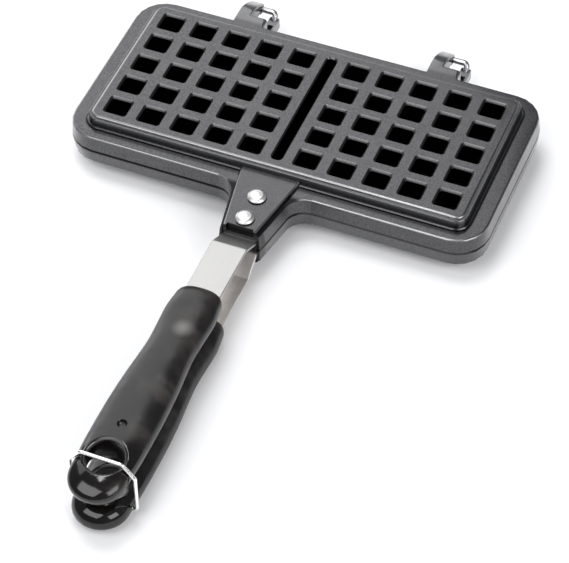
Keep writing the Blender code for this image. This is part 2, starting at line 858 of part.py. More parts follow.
def add_hinge_bosses(plate, group):
    for hinge, left_x in zip(HINGE_NAMES, HINGE_LEFT_XS):
        fuse(plate, boss_mesh(hinge + "_boss", left_x), group)
        cut(plate, boss_pocket_mesh(hinge + "_boss_pocket", left_x), group)
        cut(plate, boss_hole_mesh(hinge + "_boss_hole", left_x), group)


# Handles

def strap_centre_line():
    root_mid = STRAP_ROOT_TOP - STRAP_THICK / 2
    run = (STRAP_MID_TOP - root_mid) / math.tan(math.radians(STRAP_RAMP_DEG))
    corners = [(0, STRAP_ROOT_Y, root_mid), (0, STRAP_RAMP_Y, root_mid),
               (0, STRAP_RAMP_Y - run, STRAP_MID_TOP), (0, STRAP_TANG_END_Y, STRAP_MID_TOP)]
    return filleted_path(corners, STRAP_BEND, 3)


def strap_mesh(name, side):
    line = strap_centre_line()
    above = []
    below = []
    for index, point in enumerate(line):
        before = line[max(index - 1, 0)]
        after = line[min(index + 1, len(line) - 1)]
        along = (after - before).normalized()
        across = Vector((0, -along.z, along.y)) * (STRAP_THICK / 2)
        above.append((point.y + across.y, point.z + across.z))
        below.append((point.y - across.y, point.z - across.z))
    outline = above + below[::-1]
    return prism_mesh(name, outline, -STRAP_HALF_X, STRAP_HALF_X, side)


def make_strap(name, side, group):
    strap = add_piece(name, strap_mesh(name, side), group, strap_steel())
    bevel = strap.modifiers.new("soft_edges", "BEVEL")
    bevel.width = STRAP_EDGE
    bevel.segments = 1
    bevel.limit_method = "ANGLE"
    bevel.angle_limit = math.radians(60)
    low = STRAP_ROOT_TOP - STRAP_THICK - CUT_OVERRUN
    high = STRAP_ROOT_TOP + CUT_OVERRUN
    cut(strap, rivet_holes_mesh(name + "_rivet_holes", side, low, high), group)
    return strap


def dome_profile(radius, seat, rise, rim, steps):
    # From the axis at the crown out to the rim, as a shallow cap of a sphere
    cap = rise - rim
    sphere = (radius ** 2 + cap ** 2) / (2 * cap)
    points = []
    for step in range(steps + 1):
        r = radius * step / steps
        points.append((r, seat + rim + cap - sphere + math.sqrt(sphere ** 2 - r ** 2)))
    return points


def rivet_profile():
    head_seat = TAB_TOP + FIT
    tail_seat = STRAP_ROOT_TOP - STRAP_THICK - FIT
    head = dome_profile(RIVET_HEAD_RADIUS, head_seat, RIVET_HEAD_RISE, RIVET_HEAD_RIM, 3)
    tail = dome_profile(RIVET_TAIL_RADIUS, 0, RIVET_TAIL_RISE, RIVET_HEAD_RIM, 2)
    profile = head + [(RIVET_HEAD_RADIUS, head_seat), (RIVET_SHANK_RADIUS, head_seat),
                      (RIVET_SHANK_RADIUS, tail_seat), (RIVET_TAIL_RADIUS, tail_seat)]
    profile += [(radius, tail_seat - height) for radius, height in reversed(tail)]
    return profile


def make_rivets(prefix, side, group):
    for place, y in zip(("rear", "front"), RIVET_YS):
        name = prefix + "_rivet_" + place
        add_piece(name, turned_mesh(name, rivet_profile(), 0, y, side), group, rivet_aluminium())


def blunt(distance, length, power):
    # Rises from 0 to 1 over the length, upright at first and then level
    share = min(distance / length, 1)
    return (1 - (1 - share) ** power) ** (1 / power)


def grip_section(y):
    from_front = GRIP_FRONT_Y - y
    from_end = y - GRIP_END_Y
    position = from_front / (GRIP_FRONT_Y - GRIP_END_Y)
    nose = blunt(from_front, GRIP_NOSE, GRIP_NOSE_POWER)
    tail = blunt(from_end, GRIP_TAIL, GRIP_TAIL_POWER)
    half_x = GRIP_HALF_X * smooth_share(GRIP_WIDTH_SHARES, position) * nose * tail
    rise = blunt(from_front, GRIP_NOSE_RISE, GRIP_NOSE_RISE_POWER)
    # The outer side falls early, so that the bail can swing past the end
    outer_fall = blunt(from_end, GRIP_CROWN_FALL, GRIP_TAIL_POWER)
    inner_fall = blunt(from_end, GRIP_TAIL_FALL, GRIP_TAIL_POWER)
    outer = GRIP_HALF_THICK * smooth_share(GRIP_OUTER_SHARES, position) * rise * outer_fall
    inner = GRIP_HALF_THICK * rise * inner_fall
    points = []
    for index in range(SECTION_POINTS):
        angle = index / SECTION_POINTS * 2 * math.pi
        cosine = math.cos(angle)
        sine = math.sin(angle)
        x = half_x * math.copysign(abs(cosine) ** (2 / GRIP_SEAM_POWER), cosine)
        thick = outer if sine > 0 else inner
        z = thick * math.copysign(abs(sine) ** (2 / GRIP_SEAM_POWER), sine)
        points.append((x, y, GRIP_MID + z))
    return points


def grip_stations():
    nose_end = GRIP_FRONT_Y - GRIP_NOSE_RISE
    tail_start = GRIP_END_Y + GRIP_TAIL
    stations = []
    for step in range(NOSE_STATIONS):
        share = (step + NOSE_FIRST_SHARE) / (NOSE_STATIONS + NOSE_FIRST_SHARE)
        stations.append(GRIP_FRONT_Y - GRIP_NOSE_RISE * share ** 2)
    for step in range(BODY_STATIONS):
        stations.append(nose_end + (tail_start - nose_end) * step / BODY_STATIONS)
    for step in range(TAIL_STATIONS):
        share = 1 - math.sin(step / TAIL_STATIONS * math.pi / 2)
        stations.append(GRIP_END_Y + GRIP_TAIL * share)
    return stations


def grip_body_mesh(name, side):
    bm = bmesh.new()
    rings = [grip_section(y) for y in grip_stations()]
    add_loft(bm, rings, side)
    bm.faces.ensure_lookup_table()
    end_cap = bm.faces[-1]
    bmesh.ops.poke(bm, faces=[end_cap])
    tip = max(bm.verts, key=lambda vert: -vert.co.y)
    for vert in bm.verts:
        if len(vert.link_faces) == SECTION_POINTS and vert.co.y < tip.co.y + GRIP_TAIL / 2:
            vert.co.y = GRIP_END_Y
    return finish_mesh(bm, name)


def hang_hole_mesh(name, side):
    # A turned cutter with its rims flared to round the hole's edges
    profile = [(0, GRIP_MID + GRIP_HALF_THICK + CUT_OVERRUN)]
    top = GRIP_MID + GRIP_HALF_THICK
    bottom = GRIP_MID - GRIP_HALF_THICK
    flare = HANG_HOLE_RADIUS + HANG_HOLE_ROUND
    profile.append((flare + CUT_OVERRUN, top + CUT_OVERRUN))
    arc = []
    for step in range(ROUND_STEPS + 1):
        angle = step / ROUND_STEPS * math.pi / 2
        radius = flare - HANG_HOLE_ROUND * math.sin(angle)
        arc.append((radius, HANG_HOLE_ROUND * (1 - math.cos(angle))))
    profile += [(radius, top - drop) for radius, drop in arc]
    profile += [(radius, bottom + drop) for radius, drop in reversed(arc)]
    profile.append((flare + CUT_OVERRUN, bottom - CUT_OVERRUN))
    profile.append((0, bottom - CUT_OVERRUN))
    return turned_mesh(name, profile, 0, HANG_HOLE_Y, side)


def tang_slot_mesh(name, side):
    half_thick = STRAP_THICK / 2 + FIT
    back = STRAP_TANG_END_Y - FIT
    front = GRIP_FRONT_Y + CUT_OVERRUN
    outline = [(front, STRAP_MID_TOP - half_thick), (front, STRAP_MID_TOP + half_thick),
               (back, STRAP_MID_TOP + half_thick), (back, STRAP_MID_TOP - half_thick)]
    reach = STRAP_HALF_X + FIT
    return prism_mesh(name, outline, -reach, reach, side)


def moulded_socket_mesh(name, side):
    top = GRIP_MID + GRIP_HALF_THICK
    profile = [(0, top + CUT_OVERRUN), (SOCKET_RADIUS, top + CUT_OVERRUN),
               (SOCKET_RADIUS, top - SOCKET_DEPTH), (0, top - SOCKET_DEPTH)]
    return turned_mesh(name, profile, 0, SOCKET_Y, side)


def make_grip(name, side, group):
    grip = add_piece(name, grip_body_mesh(name, side), group, grip_phenolic())
    cut(grip, hang_hole_mesh(name + "_hang_hole", side), group)
    cut(grip, tang_slot_mesh(name + "_tang_slot", side), group)
    cut(grip, moulded_socket_mesh(name + "_moulded_socket", side), group)
    return grip


# Bail

def bail_height():
    return 2 * GRIP_MID + GRIP_HALF_THICK + FIT + BAIL_WIRE_RADIUS


def bail_mesh(name):
    height = bail_height()
    lean = BAIL_LEAN / height
    shoulder = height - BAIL_CHAMFER_DROP
    half_path = [(BAIL_PIN_INNER_X, 0), (BAIL_HALF_X, 0), (BAIL_HALF_X, shoulder),
                 (BAIL_TOP_HALF_X, height)]
    corners = [(-x, z * lean, z) for x, z in half_path]
    corners += [(x, z * lean, z) for x, z in reversed(half_path)]
    path = filleted_path(corners, BAIL_BEND, 3)
    normal = Vector((0, 1, -lean)).normalized()
    return wire_mesh(name, path, BAIL_WIRE_RADIUS, normal)


def bail_sockets_mesh(name):
    bm = bmesh.new()
    radius = BAIL_WIRE_RADIUS + FIT
    inner = BAIL_PIN_INNER_X - FIT
    for way in (1, -1):
        rings = []
        for x in (way * inner, way * (GRIP_HALF_X + CUT_OVERRUN)):
            ring = []
            for step in range(WIRE_SIDES):
                angle = step / WIRE_SIDES * 2 * math.pi
                ring.append((x, BAIL_PIVOT_Y + radius * math.cos(angle),
                             -GRIP_MID + radius * math.sin(angle)))
            rings.append(ring)
        add_loft(bm, rings)
    return finish_mesh(bm, name)


def settle_shading():
    # Flat faces keep their own normals beside rounded edges
    for obj in bpy.data.objects:
        if obj.type == "MESH" and not obj.hide_render:
            step = obj.modifiers.new("face_normals", "WEIGHTED_NORMAL")
            step.keep_sharp = True


def build():
    clear_scene()
    rest = add_empty("parting_plane_centre", (0, SHIFT_Y, REST_HEIGHT))
    lid = add_empty("hinge_axis", (0, HINGE_Y, 0), rest)
    pivot = add_empty("bail_axis", (0, BAIL_PIVOT_Y, -GRIP_MID), rest)
    base = {"empty": rest, "offset": (0, 0, 0)}
    cover = {"empty": lid, "offset": (0, -HINGE_Y, 0)}
    catch = {"empty": pivot, "offset": (0, 0, 0)}

    lower_plate = make_plate("lower_plate", DOWN, base)
    add_hinge_bosses(lower_plate, base)
    for hinge, left_x in zip(HINGE_NAMES, HINGE_LEFT_XS):
        name = hinge + "_hinge_pin"
        add_piece(name, pin_mesh(name, left_x), base, pin_steel())
    make_strap("lower_strap", DOWN, base)
    make_rivets("lower", DOWN, base)
    lower_grip = make_grip("lower_grip", DOWN, base)
    cut(lower_grip, bail_sockets_mesh("bail_sockets"), base)

    upper_plate = make_plate("upper_plate", UP, cover)
    add_hinge_lugs(upper_plate, cover)
    make_strap("upper_strap", UP, cover)
    make_rivets("upper", UP, cover)
    make_grip("upper_grip", UP, cover)

    add_piece("locking_bail", bail_mesh("locking_bail"), catch, bail_wire())
    settle_shading()


build()
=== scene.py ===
import json
import math

import bmesh
import bpy
from mathutils import Matrix, Vector


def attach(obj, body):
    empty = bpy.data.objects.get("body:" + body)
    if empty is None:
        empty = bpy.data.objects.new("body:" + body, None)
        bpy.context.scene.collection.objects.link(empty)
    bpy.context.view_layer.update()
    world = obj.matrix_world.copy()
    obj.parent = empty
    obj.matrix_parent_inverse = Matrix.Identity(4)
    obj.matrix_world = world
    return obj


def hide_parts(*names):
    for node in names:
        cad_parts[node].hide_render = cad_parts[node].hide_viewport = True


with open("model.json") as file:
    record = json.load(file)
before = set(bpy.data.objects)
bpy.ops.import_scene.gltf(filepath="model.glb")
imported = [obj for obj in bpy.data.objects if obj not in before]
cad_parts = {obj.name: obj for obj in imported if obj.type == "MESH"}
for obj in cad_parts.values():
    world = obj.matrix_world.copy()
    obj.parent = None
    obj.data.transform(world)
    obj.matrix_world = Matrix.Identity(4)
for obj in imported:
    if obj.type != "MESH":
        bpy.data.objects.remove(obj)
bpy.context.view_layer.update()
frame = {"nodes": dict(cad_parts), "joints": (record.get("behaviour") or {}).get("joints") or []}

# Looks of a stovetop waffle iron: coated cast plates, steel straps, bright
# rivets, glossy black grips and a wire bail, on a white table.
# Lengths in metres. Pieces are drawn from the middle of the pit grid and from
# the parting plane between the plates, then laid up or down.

UP = 1
DOWN = -1

# Where the iron lies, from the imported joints
JOINTS = {joint["name"]: Vector(joint["pos_m"]) for joint in frame["joints"]}
HINGE_FROM_GRID = 0.0796
GRID_Y = JOINTS["lid_hinge"].y - HINGE_FROM_GRID
PARTING_Z = JOINTS["lid_hinge"].z
BAIL_PIVOT = JOINTS["bail_hinge"]

# Panel and waffle grid, for the places where the plates' painted shade and painted highlights go
PANEL_TOP = 0.0162
PANEL_HALF_X = 0.1100
PANEL_HALF_Y = 0.0489
PANEL_CORNER = 0.0075
BRINK_INSET = 0.0033
ROOT_OUTSET = 0.0010
PITCH_X = 0.0198
PITCH_Y = 0.01763
FIRST_PIT_X = 0.01606
PIT_HALF_X = 0.00585
PIT_HALF_Y = 0.0054
PIT_BEVEL = 0.0012
PIT_SLOPE = 0.1405
GRID_HALF_X = 0.1052
GRID_HALF_Y = 0.0441

# Where the plates' colour changes: painted shade, painted highlights and paler lugs.
# Heights are from the parting plane, places along are from the grid's middle,
# and two numbers are where a change begins and ends. Four numbers are where a
# band begins, is full, fades and ends.
MASK_BLUR = 0.0002
# Painted shade in the pits and the slot
PIT_MARGIN = (-0.0011, -0.0009)
PIT_SHADE_FLOOR = (0.0042, 0.0046)
SLOT_SHADE_X = 0.0040
SLOT_SHADE_Y = 0.0430
SLOT_SHADE_FLOOR = (0.0030, 0.0034)
PIT_SHADE_TOP = (PANEL_TOP - 0.0016, PANEL_TOP + 0.0002)
# Painted shade along the seam between the plates
SEAM_HEIGHTS = (0.0008, 0.0012)
SEAM_LEFT = (-0.020, 0.020)
SEAM_RIGHT_END = (0.112, 0.118)
SEAM_NECK = (-0.0620, -0.0580)
NECK_WIDTH = (0.020, 0.022)
# Painted shade on the neck's flanks and the strap's mouth
FLANK_HEIGHTS = (0.0085, 0.0092, 0.0112, 0.0115)
FLANK_PLACE = (-0.0600, -0.0560)
MOUTH_HEIGHTS = (0.0112, 0.0115)
MOUTH_PLACE = (-0.0866, -0.0860)
# Painted shade at the panel's root
ROOT_HEIGHTS = (0.0095, 0.0097, 0.0110, 0.0113)
ROOT_SEAM = (-0.0004, 0.0001, 0.0004, 0.0011)
ROOT_SEAM_HEIGHTS = (0.0097, 0.0101)
SHOULDER_HEIGHTS = (0.0125, 0.0130, 0.0151, 0.0154)
# Painted highlight along the panel's top edge
BRINK_WIDTH = (-0.0003, 0.0)
BRINK_HEIGHTS = (PANEL_TOP - 0.0003, PANEL_TOP - 0.0001)
BRINK_END = (0.096, 0.104)
# Painted sheen on the walls, and the paler lugs
WALL_SHEEN_HEIGHTS = (0.0118, 0.0152)
LUG_FADE = (0.0572, 0.0602)

# How level a face is, from 0 upright to 1 flat
SLANTED = (0.22, 0.40, 0.90, 0.97)
UPRIGHT = (0.40, 0.60)

# How strongly each place shows: painted shade, painted highlights and reflections, paler lugs,
# handling film and the coat
SEAM_FAINTEST = 0.40
FLANK_SHADE = 0.88
MOUTH_SHADE = 0.60
PIT_LIP_SHADE = 0.25
ROOT_SHADE_DARKNESS = 0.85
ROOT_SHADE = 0.35
BRINK_SHINE = 0.60
WALL_SHEEN = 0.80
LUG_PALENESS = 0.55
INNER_RING_SHARE = 0.60
HOLE_RIM_HIGHLIGHT_SHARE = 0.80
FILM_ON_COATING = 0.40
FILM_ON_STEEL = 0.50
COAT_WEIGHT = 0.85

# Tones
COATING_DARK = (0.030, 0.030, 0.033, 1)
COATING_PALE = (0.068, 0.068, 0.073, 1)
COATING_HANDLED = (0.082, 0.080, 0.080, 1)
# Painted sheen of the walls, also the lugs' paler tone
COATING_WALL_SHEEN_AND_LUG = (0.180, 0.180, 0.186, 1)
# Painted highlight on the rims
COATING_RIM_HIGHLIGHT = (0.230, 0.230, 0.236, 1)
# Painted shade
PAINTED_SHADE_TONE = (0.010, 0.010, 0.010, 1)
# Painted reflection rings on the rivets
REFLECTED_RING_TONE = (0.42, 0.42, 0.42, 1)
PHENOLIC = (0.0035, 0.0028, 0.0026, 1)
PHENOLIC_FILM = (0.0260, 0.0220, 0.0205, 1)
# Painted highlight round the hanging hole
HOLE_RIM_HIGHLIGHT_TONE = (0.110, 0.108, 0.106, 1)
# Painted highlight blob on the grip's waist
HIGHLIGHT_BLOB_TONE = (0.130, 0.126, 0.123, 1)

# Roughness, from the smoothest places to the dullest
COATING_ROUGHNESS = (0.28, 0.33)
COATING_FILM_ROUGHNESS = 0.05
STEEL_ROUGHNESS = (0.40, 0.46)
PHENOLIC_ROUGHNESS = (0.10, 0.30)
HELD_ROUGHNESS = (0.0, 0.20)

# Shares of a noise's range that turn into marks
GRAIN_CONTRAST = (0.35, 0.65)
LINE_CONTRAST = (0.30, 0.70)
CLOUD_CONTRAST = (0.42, 0.68)
MOTTLE_RELIEF = 0.35

# Straps and the tang in each grip
STRAP_HALF_X = 0.0100
TANG_MID = 0.0114
TANG_HALF_THICK = 0.0012
TANG_END_Y = -0.2363

# Rivets
RIVET_YS = {"rear": -0.0668, "front": -0.0829}
TAB_TOP = 0.0119
RIVET_GAP = 0.0003
RIVET_TAIL_SEAT = 0.0030
RIVET_HEAD = (
    # (radius, height over the tab), from the crown outwards and under
    (0.0000, 0.00230), (0.0007, 0.00229), (0.0013, 0.00225), (0.0019, 0.00217),
    (0.0024, 0.00207), (0.0028, 0.00199), (0.0032, 0.00193), (0.0036, 0.00182),
    (0.0040, 0.00165), (0.0044, 0.00140), (0.0048, 0.00108), (0.0051, 0.00078),
    (0.00522, 0.00058), (0.00525, 0.00042), (0.00518, 0.00026), (0.0050, 0.00012),
    (0.0047, 0.00002), (0.0043, 0.0), (0.0025, 0.0),
)
RIVET_TAIL = (
    (0.0025, 0.0), (0.0037, 0.0), (0.0040, 0.0003), (0.0038, 0.0008),
    (0.0030, 0.0012), (0.0016, 0.0014), (0.0000, 0.0014),
)
RIVET_SIDES = 72
# Radii of the painted reflection rings on the rivets' heads
INNER_RING = (0.0013, 0.0017, 0.0018, 0.0023)
OUTER_RING = (0.0030, 0.0036, 0.0038, 0.0044)

# Grips
GRIP_FRONT_Y = -0.1366
GRIP_END_Y = -0.2774
GRIP_MID = 0.0110
GRIP_HALF_X = 0.0157
GRIP_HALF_THICK = 0.0078
GRIP_NOSE = 0.0090
GRIP_NOSE_RISE = 0.0120
GRIP_TAIL = 0.0156
GRIP_CROWN_FALL = 0.0260
GRIP_TAIL_FALL = 0.0100
GRIP_NOSE_POWER = 3.0
GRIP_NOSE_RISE_POWER = 2.5
GRIP_TAIL_POWER = 2.0
GRIP_SEAM_POWER = 2.3
GRIP_WIDTH_SHARES = (
    (0.000, 0.80), (0.060, 0.82), (0.096, 0.86), (0.132, 0.88),
    (0.168, 0.868), (0.240, 0.834), (0.297, 0.822), (0.383, 0.879),
    (0.455, 0.936), (0.541, 0.981), (0.613, 1.000), (0.770, 1.000),
    (0.840, 0.970), (0.880, 0.955), (1.000, 0.990),
)
GRIP_OUTER_SHARES = (
    (0.000, 1.00), (0.090, 1.00), (0.190, 0.90), (0.290, 0.94),
    (0.420, 1.00), (1.000, 1.00),
)
GRIP_WIDEST_SHARE = 0.98
GRIP_SIDES = 64
NOSE_STATIONS = 12
NOSE_FIRST_SHARE = 0.3
BODY_STATIONS = 46
TAIL_STATIONS = 18
TAIL_FIRST_SHARE = 0.02
HOLE_Y = -0.2543
HOLE_RADIUS = 0.0097
HOLE_ROUND = 0.0020
HOLE_SIDES = 72
RECESS_Y = -0.2340
RECESS_RADIUS = 0.0022
RECESS_DEPTH = 0.0020
RECESS_FLARE = 0.0006
RECESS_DRAFT = 0.0001
RECESS_LIP_OVER = 0.0002
RECESS_LIP_UNDER = 0.0004
RECESS_SIDES = 40
CUT_OVERRUN = 0.0020
RIM_SOFTENING = 0.0003
PLATE_SOFTENING = 0.00025
# Painted highlight ring round the hanging hole
HOLE_HIGHLIGHT_RING = tuple(HOLE_RADIUS + past for past in (0.0001, 0.0003, 0.0006, 0.0010))
HELD_PLACE = (-0.2500, -0.2380)
# Painted highlight blob on the grip's waist
HIGHLIGHT_BLOB_X = 0.0025
HIGHLIGHT_BLOB_Y = -0.1675
HIGHLIGHT_BLOB_RADIUS = 0.0072

# Bail
WIRE_RADIUS = 0.0010
BAIL_HALF_X = 0.0175
BAIL_TOP_HALF_X = 0.0110
BAIL_CHAMFER_DROP = 0.0077
BAIL_LEAN = 0.0016
BAIL_BEND = 0.0022
BAIL_PIN_INNER_X = 0.0118
BAIL_HEIGHT = 0.0311
BAIL_CLEARANCE = 0.0003

# Hinge pins
HINGE_LEFT_XS = {"left": -0.0672, "right": 0.0491}
LUG_WIDTH = 0.0081
PIN_RADIUS = 0.0017
PIN_BEND = 0.0022
PIN_END_INSET = 0.0008
PIN_ARM_FROM_LUG = 0.0084
PIN_ARM_LENGTH = 0.0095
PIN_ARM_DOWN_DEG = 50.0

# Mesh detail
BAR_SIDES = 24
BAR_END_RINGS = ((0.0, 0.72), (0.12, 0.90), (0.38, 1.00))
BEND_STEPS = 10
ROUND_STEPS = 8
CREASE_DEG = 32.0
WELD_DISTANCE = 0.00001

# Camera: solved from the pit grids of the photograph
CAMERA_PLACE = (0.37608, -0.77105, 0.98279)
CAMERA_RIGHT = (0.9232, 0.3835, -0.0266)
CAMERA_DOWN = (0.2738, -0.7046, -0.6546)
CAMERA_AHEAD = (-0.2698, 0.5970, -0.7555)
CAMERA_LENS = 155.7
SENSOR_WIDTH = 36.0

# Table and soft boxes
TABLE_HALF = 3.0
TABLE_PAPER = (0.84, 0.84, 0.85, 1.0)
TABLE_GLOW = 0.04
ROOM_LIGHT = 0.25
LIGHT_TARGET = (0.0, 0.03, 0.02)
SOFT_BOXES = {
    # name: (direction from the object, distance, width, height, power in watts)
    "back_soft_box": ((-0.62, 0.60, 0.75), 1.40, 1.35, 1.20, 9.0),
    "front_soft_box": ((-0.24, -0.55, 0.80), 1.30, 0.90, 0.70, 7.9),
    "top_soft_box": ((-0.12, 0.12, 1.00), 1.30, 0.50, 0.35, 6.0),
    "side_soft_box": ((0.78, -0.36, 0.66), 1.30, 0.80, 0.70, 8.8),
    "left_soft_box": ((-0.80, 0.55, 0.16), 1.30, 0.60, 0.40, 1.9),
}


# Node helpers

def new_material(name):
    mat = bpy.data.materials.new(name)
    mat.use_nodes = True
    tree = mat.node_tree
    tree.nodes.clear()
    shader = tree.nodes.new("ShaderNodeBsdfPrincipled")
    out = tree.nodes.new("ShaderNodeOutputMaterial")
    tree.links.new(shader.outputs[0], out.inputs["Surface"])
    return mat, tree, shader


def put(tree, value, socket):
    if isinstance(value, bpy.types.NodeSocket):
        tree.links.new(value, socket)
    else:
        socket.default_value = value


def add_node(tree, kind, settings=None, **inputs):
    node = tree.nodes.new(kind)
    for key, value in (settings or {}).items():
        setattr(node, key, value)
    for key, value in inputs.items():
        put(tree, value, node.inputs[key.replace("_", " ")])
    return node


def calculate(tree, operation, first, second=0.0):
    node = add_node(tree, "ShaderNodeMath", {"operation": operation})
    put(tree, first, node.inputs[0])
    put(tree, second, node.inputs[1])
    return node.outputs[0]


def joined(tree, operation, values):
    result = values[0]
    for value in values[1:]:
        result = calculate(tree, operation, result, value)
    return result


def times(tree, *factors):
    return joined(tree, "MULTIPLY", factors)


def most(tree, *values):
    return joined(tree, "MAXIMUM", values)


def less(tree, value, taken):
    return calculate(tree, "SUBTRACT", value, taken)


def size_of(tree, value):
    return calculate(tree, "ABSOLUTE", value)


def far_from(tree, first, second):
    # Distance from the origin of a flat place
    square = calculate(tree, "ADD", times(tree, first, first), times(tree, second, second))
    return calculate(tree, "SQRT", square)


def ramp(tree, value, low, high, to_low=0.0, to_high=1.0):
    node = add_node(tree, "ShaderNodeMapRange", {"interpolation_type": "SMOOTHSTEP"},
                    Value=value, From_Min=low, From_Max=high, To_Min=to_low, To_Max=to_high)
    return node.outputs["Result"]


def fade(tree, value, low, high):
    return ramp(tree, value, low, high, 1.0, 0.0)


def band(tree, value, edges):
    start, full, fading, end = edges
    return times(tree, ramp(tree, value, start, full), fade(tree, value, fading, end))


def noise(tree, place, scale, detail):
    node = add_node(tree, "ShaderNodeTexNoise", None, Vector=place, Scale=scale, Detail=detail)
    return node.outputs["Fac"]


def blend(tree, share, first, second):
    node = add_node(tree, "ShaderNodeMix", {"data_type": "RGBA"})
    for index, value in ((0, share), (6, first), (7, second)):
        put(tree, value, node.inputs[index])
    return node.outputs[2]


def bump(tree, shader, height, strength, distance):
    node = add_node(tree, "ShaderNodeBump", None, Height=height)
    node.inputs["Strength"].default_value = strength
    node.inputs["Distance"].default_value = distance
    tree.links.new(node.outputs["Normal"], shader.inputs["Normal"])


def object_place(tree):
    return add_node(tree, "ShaderNodeTexCoord").outputs["Object"]


def measured(tree, place):
    # Place across and along the iron, and height above or below the parting plane
    axes = add_node(tree, "ShaderNodeSeparateXYZ", None, Vector=place)
    along = less(tree, axes.outputs["Y"], GRID_Y)
    height = size_of(tree, less(tree, axes.outputs["Z"], PARTING_Z))
    return axes.outputs["X"], along, height


def levelness(tree):
    # 1 where the surface faces straight up or down, 0 where it stands upright
    normal = add_node(tree, "ShaderNodeNewGeometry").outputs["Normal"]
    facing = add_node(tree, "ShaderNodeSeparateXYZ", None, Vector=normal)
    return size_of(tree, facing.outputs["Z"])


def new_group(name, inputs, outputs):
    tree = bpy.data.node_groups.new(name, "ShaderNodeTree")
    for label, kind, default in inputs:
        socket = tree.interface.new_socket(label, in_out="INPUT", socket_type=kind)
        if default is not None:
            socket.default_value = default
    for label in outputs:
        tree.interface.new_socket(label, in_out="OUTPUT", socket_type="NodeSocketFloat")
    return tree, tree.nodes.new("NodeGroupInput"), tree.nodes.new("NodeGroupOutput")


def use_group(tree, group, **values):
    node = tree.nodes.new("ShaderNodeGroup")
    node.node_tree = group
    for key, value in values.items():
        put(tree, value, node.inputs[key.replace("_", " ")])
    return node


# Effects that several finishes share

def build_grain_group():
    # Fine speckle over a slow mottle, as a cast or sprayed surface has
    tree, entry, leave = new_group(
        "surface_grain",
        [("Place", "NodeSocketVector", None),
         ("Speckle Scale", "NodeSocketFloat", 2600.0),
         ("Mottle Scale", "NodeSocketFloat", 120.0)],
        ["Height", "Speckle", "Mottle"])
    fine = noise(tree, entry.outputs["Place"], entry.outputs["Speckle Scale"], 2.0)
    slow = noise(tree, entry.outputs["Place"], entry.outputs["Mottle Scale"], 3.0)
    height = calculate(tree, "ADD", fine, times(tree, slow, MOTTLE_RELIEF))
    tree.links.new(height, leave.inputs["Height"])
    tree.links.new(ramp(tree, fine, *GRAIN_CONTRAST), leave.inputs["Speckle"])
    tree.links.new(ramp(tree, slow, *GRAIN_CONTRAST), leave.inputs["Mottle"])
    return tree


def build_drawn_group():
    # Long fine lines along one axis, as rolled strip and drawn wire have
    tree, entry, leave = new_group(
        "drawn_lines",
        [("Place", "NodeSocketVector", None),
         ("Stretch", "NodeSocketVector", (1.0, 0.02, 1.0)),
         ("Scale", "NodeSocketFloat", 3000.0)],
        ["Height", "Streak"])
    stretched = add_node(tree, "ShaderNodeVectorMath", {"operation": "MULTIPLY"})
    tree.links.new(entry.outputs["Place"], stretched.inputs[0])
    tree.links.new(entry.outputs["Stretch"], stretched.inputs[1])
    lines = noise(tree, stretched.outputs[0], entry.outputs["Scale"], 4.0)
    tree.links.new(lines, leave.inputs["Height"])
    tree.links.new(ramp(tree, lines, *LINE_CONTRAST), leave.inputs["Streak"])
    return tree


def build_handling_group():
    # Cloudy film and faint smears that handling leaves on a smooth surface
    tree, entry, leave = new_group(
        "handling_film",
        [("Place", "NodeSocketVector", None),
         ("Cloud Scale", "NodeSocketFloat", 55.0),
         ("Smear Scale", "NodeSocketFloat", 260.0)],
        ["Film"])
    cloud = noise(tree, entry.outputs["Place"], entry.outputs["Cloud Scale"], 3.0)
    smear = noise(tree, entry.outputs["Place"], entry.outputs["Smear Scale"], 4.0)
    film = times(tree, ramp(tree, cloud, *CLOUD_CONTRAST), ramp(tree, smear, *LINE_CONTRAST))
    tree.links.new(film, leave.inputs["Film"])
    return tree


GRAIN = build_grain_group()
DRAWN = build_drawn_group()
HANDLING = build_handling_group()


# Finishes

def past_outline(tree, off_middle, off_centre, outset):
    # Distance past the panel's round-cornered outline, made larger by the outset
    corner = PANEL_CORNER + outset
    past_x = most(tree, 0.0, less(tree, off_middle, PANEL_HALF_X + outset - corner))
    past_y = most(tree, 0.0, less(tree, off_centre, PANEL_HALF_Y + outset - corner))
    return less(tree, far_from(tree, past_x, past_y), corner)


def painted_shade_in_pits(tree, place):
    # Painted shade in the pits: 1 in the pits' mouths, the pits and the slot; then
    # the same, fading out towards the top, so the painted shade is darkest deep down
    across, along, height = measured(tree, place)
    off_middle = size_of(tree, across)
    off_centre = size_of(tree, along)
    taper = times(tree, less(tree, height, PANEL_TOP - PIT_BEVEL), PIT_SLOPE)
    from_pit_x = calculate(tree, "PINGPONG", less(tree, off_middle, FIRST_PIT_X), PITCH_X / 2)
    from_pit_y = calculate(tree, "PINGPONG", along, PITCH_Y / 2)
    room_x = less(tree, calculate(tree, "ADD", taper, PIT_HALF_X), from_pit_x)
    room_y = less(tree, calculate(tree, "ADD", taper, PIT_HALF_Y), from_pit_y)
    grid_start = FIRST_PIT_X - PITCH_X / 2
    in_pit = times(
        tree, ramp(tree, room_x, *PIT_MARGIN), ramp(tree, room_y, *PIT_MARGIN),
        ramp(tree, off_middle, grid_start, grid_start + MASK_BLUR),
        fade(tree, off_middle, GRID_HALF_X, GRID_HALF_X + MASK_BLUR),
        fade(tree, off_centre, GRID_HALF_Y, GRID_HALF_Y + MASK_BLUR),
        ramp(tree, height, *PIT_SHADE_FLOOR))
    in_slot = times(
        tree, fade(tree, off_middle, SLOT_SHADE_X, SLOT_SHADE_X + MASK_BLUR),
        fade(tree, off_centre, SLOT_SHADE_Y, SLOT_SHADE_Y + MASK_BLUR),
        ramp(tree, height, *SLOT_SHADE_FLOOR))
    inside = most(tree, in_pit, in_slot)
    return inside, times(tree, inside, fade(tree, height, *PIT_SHADE_TOP))


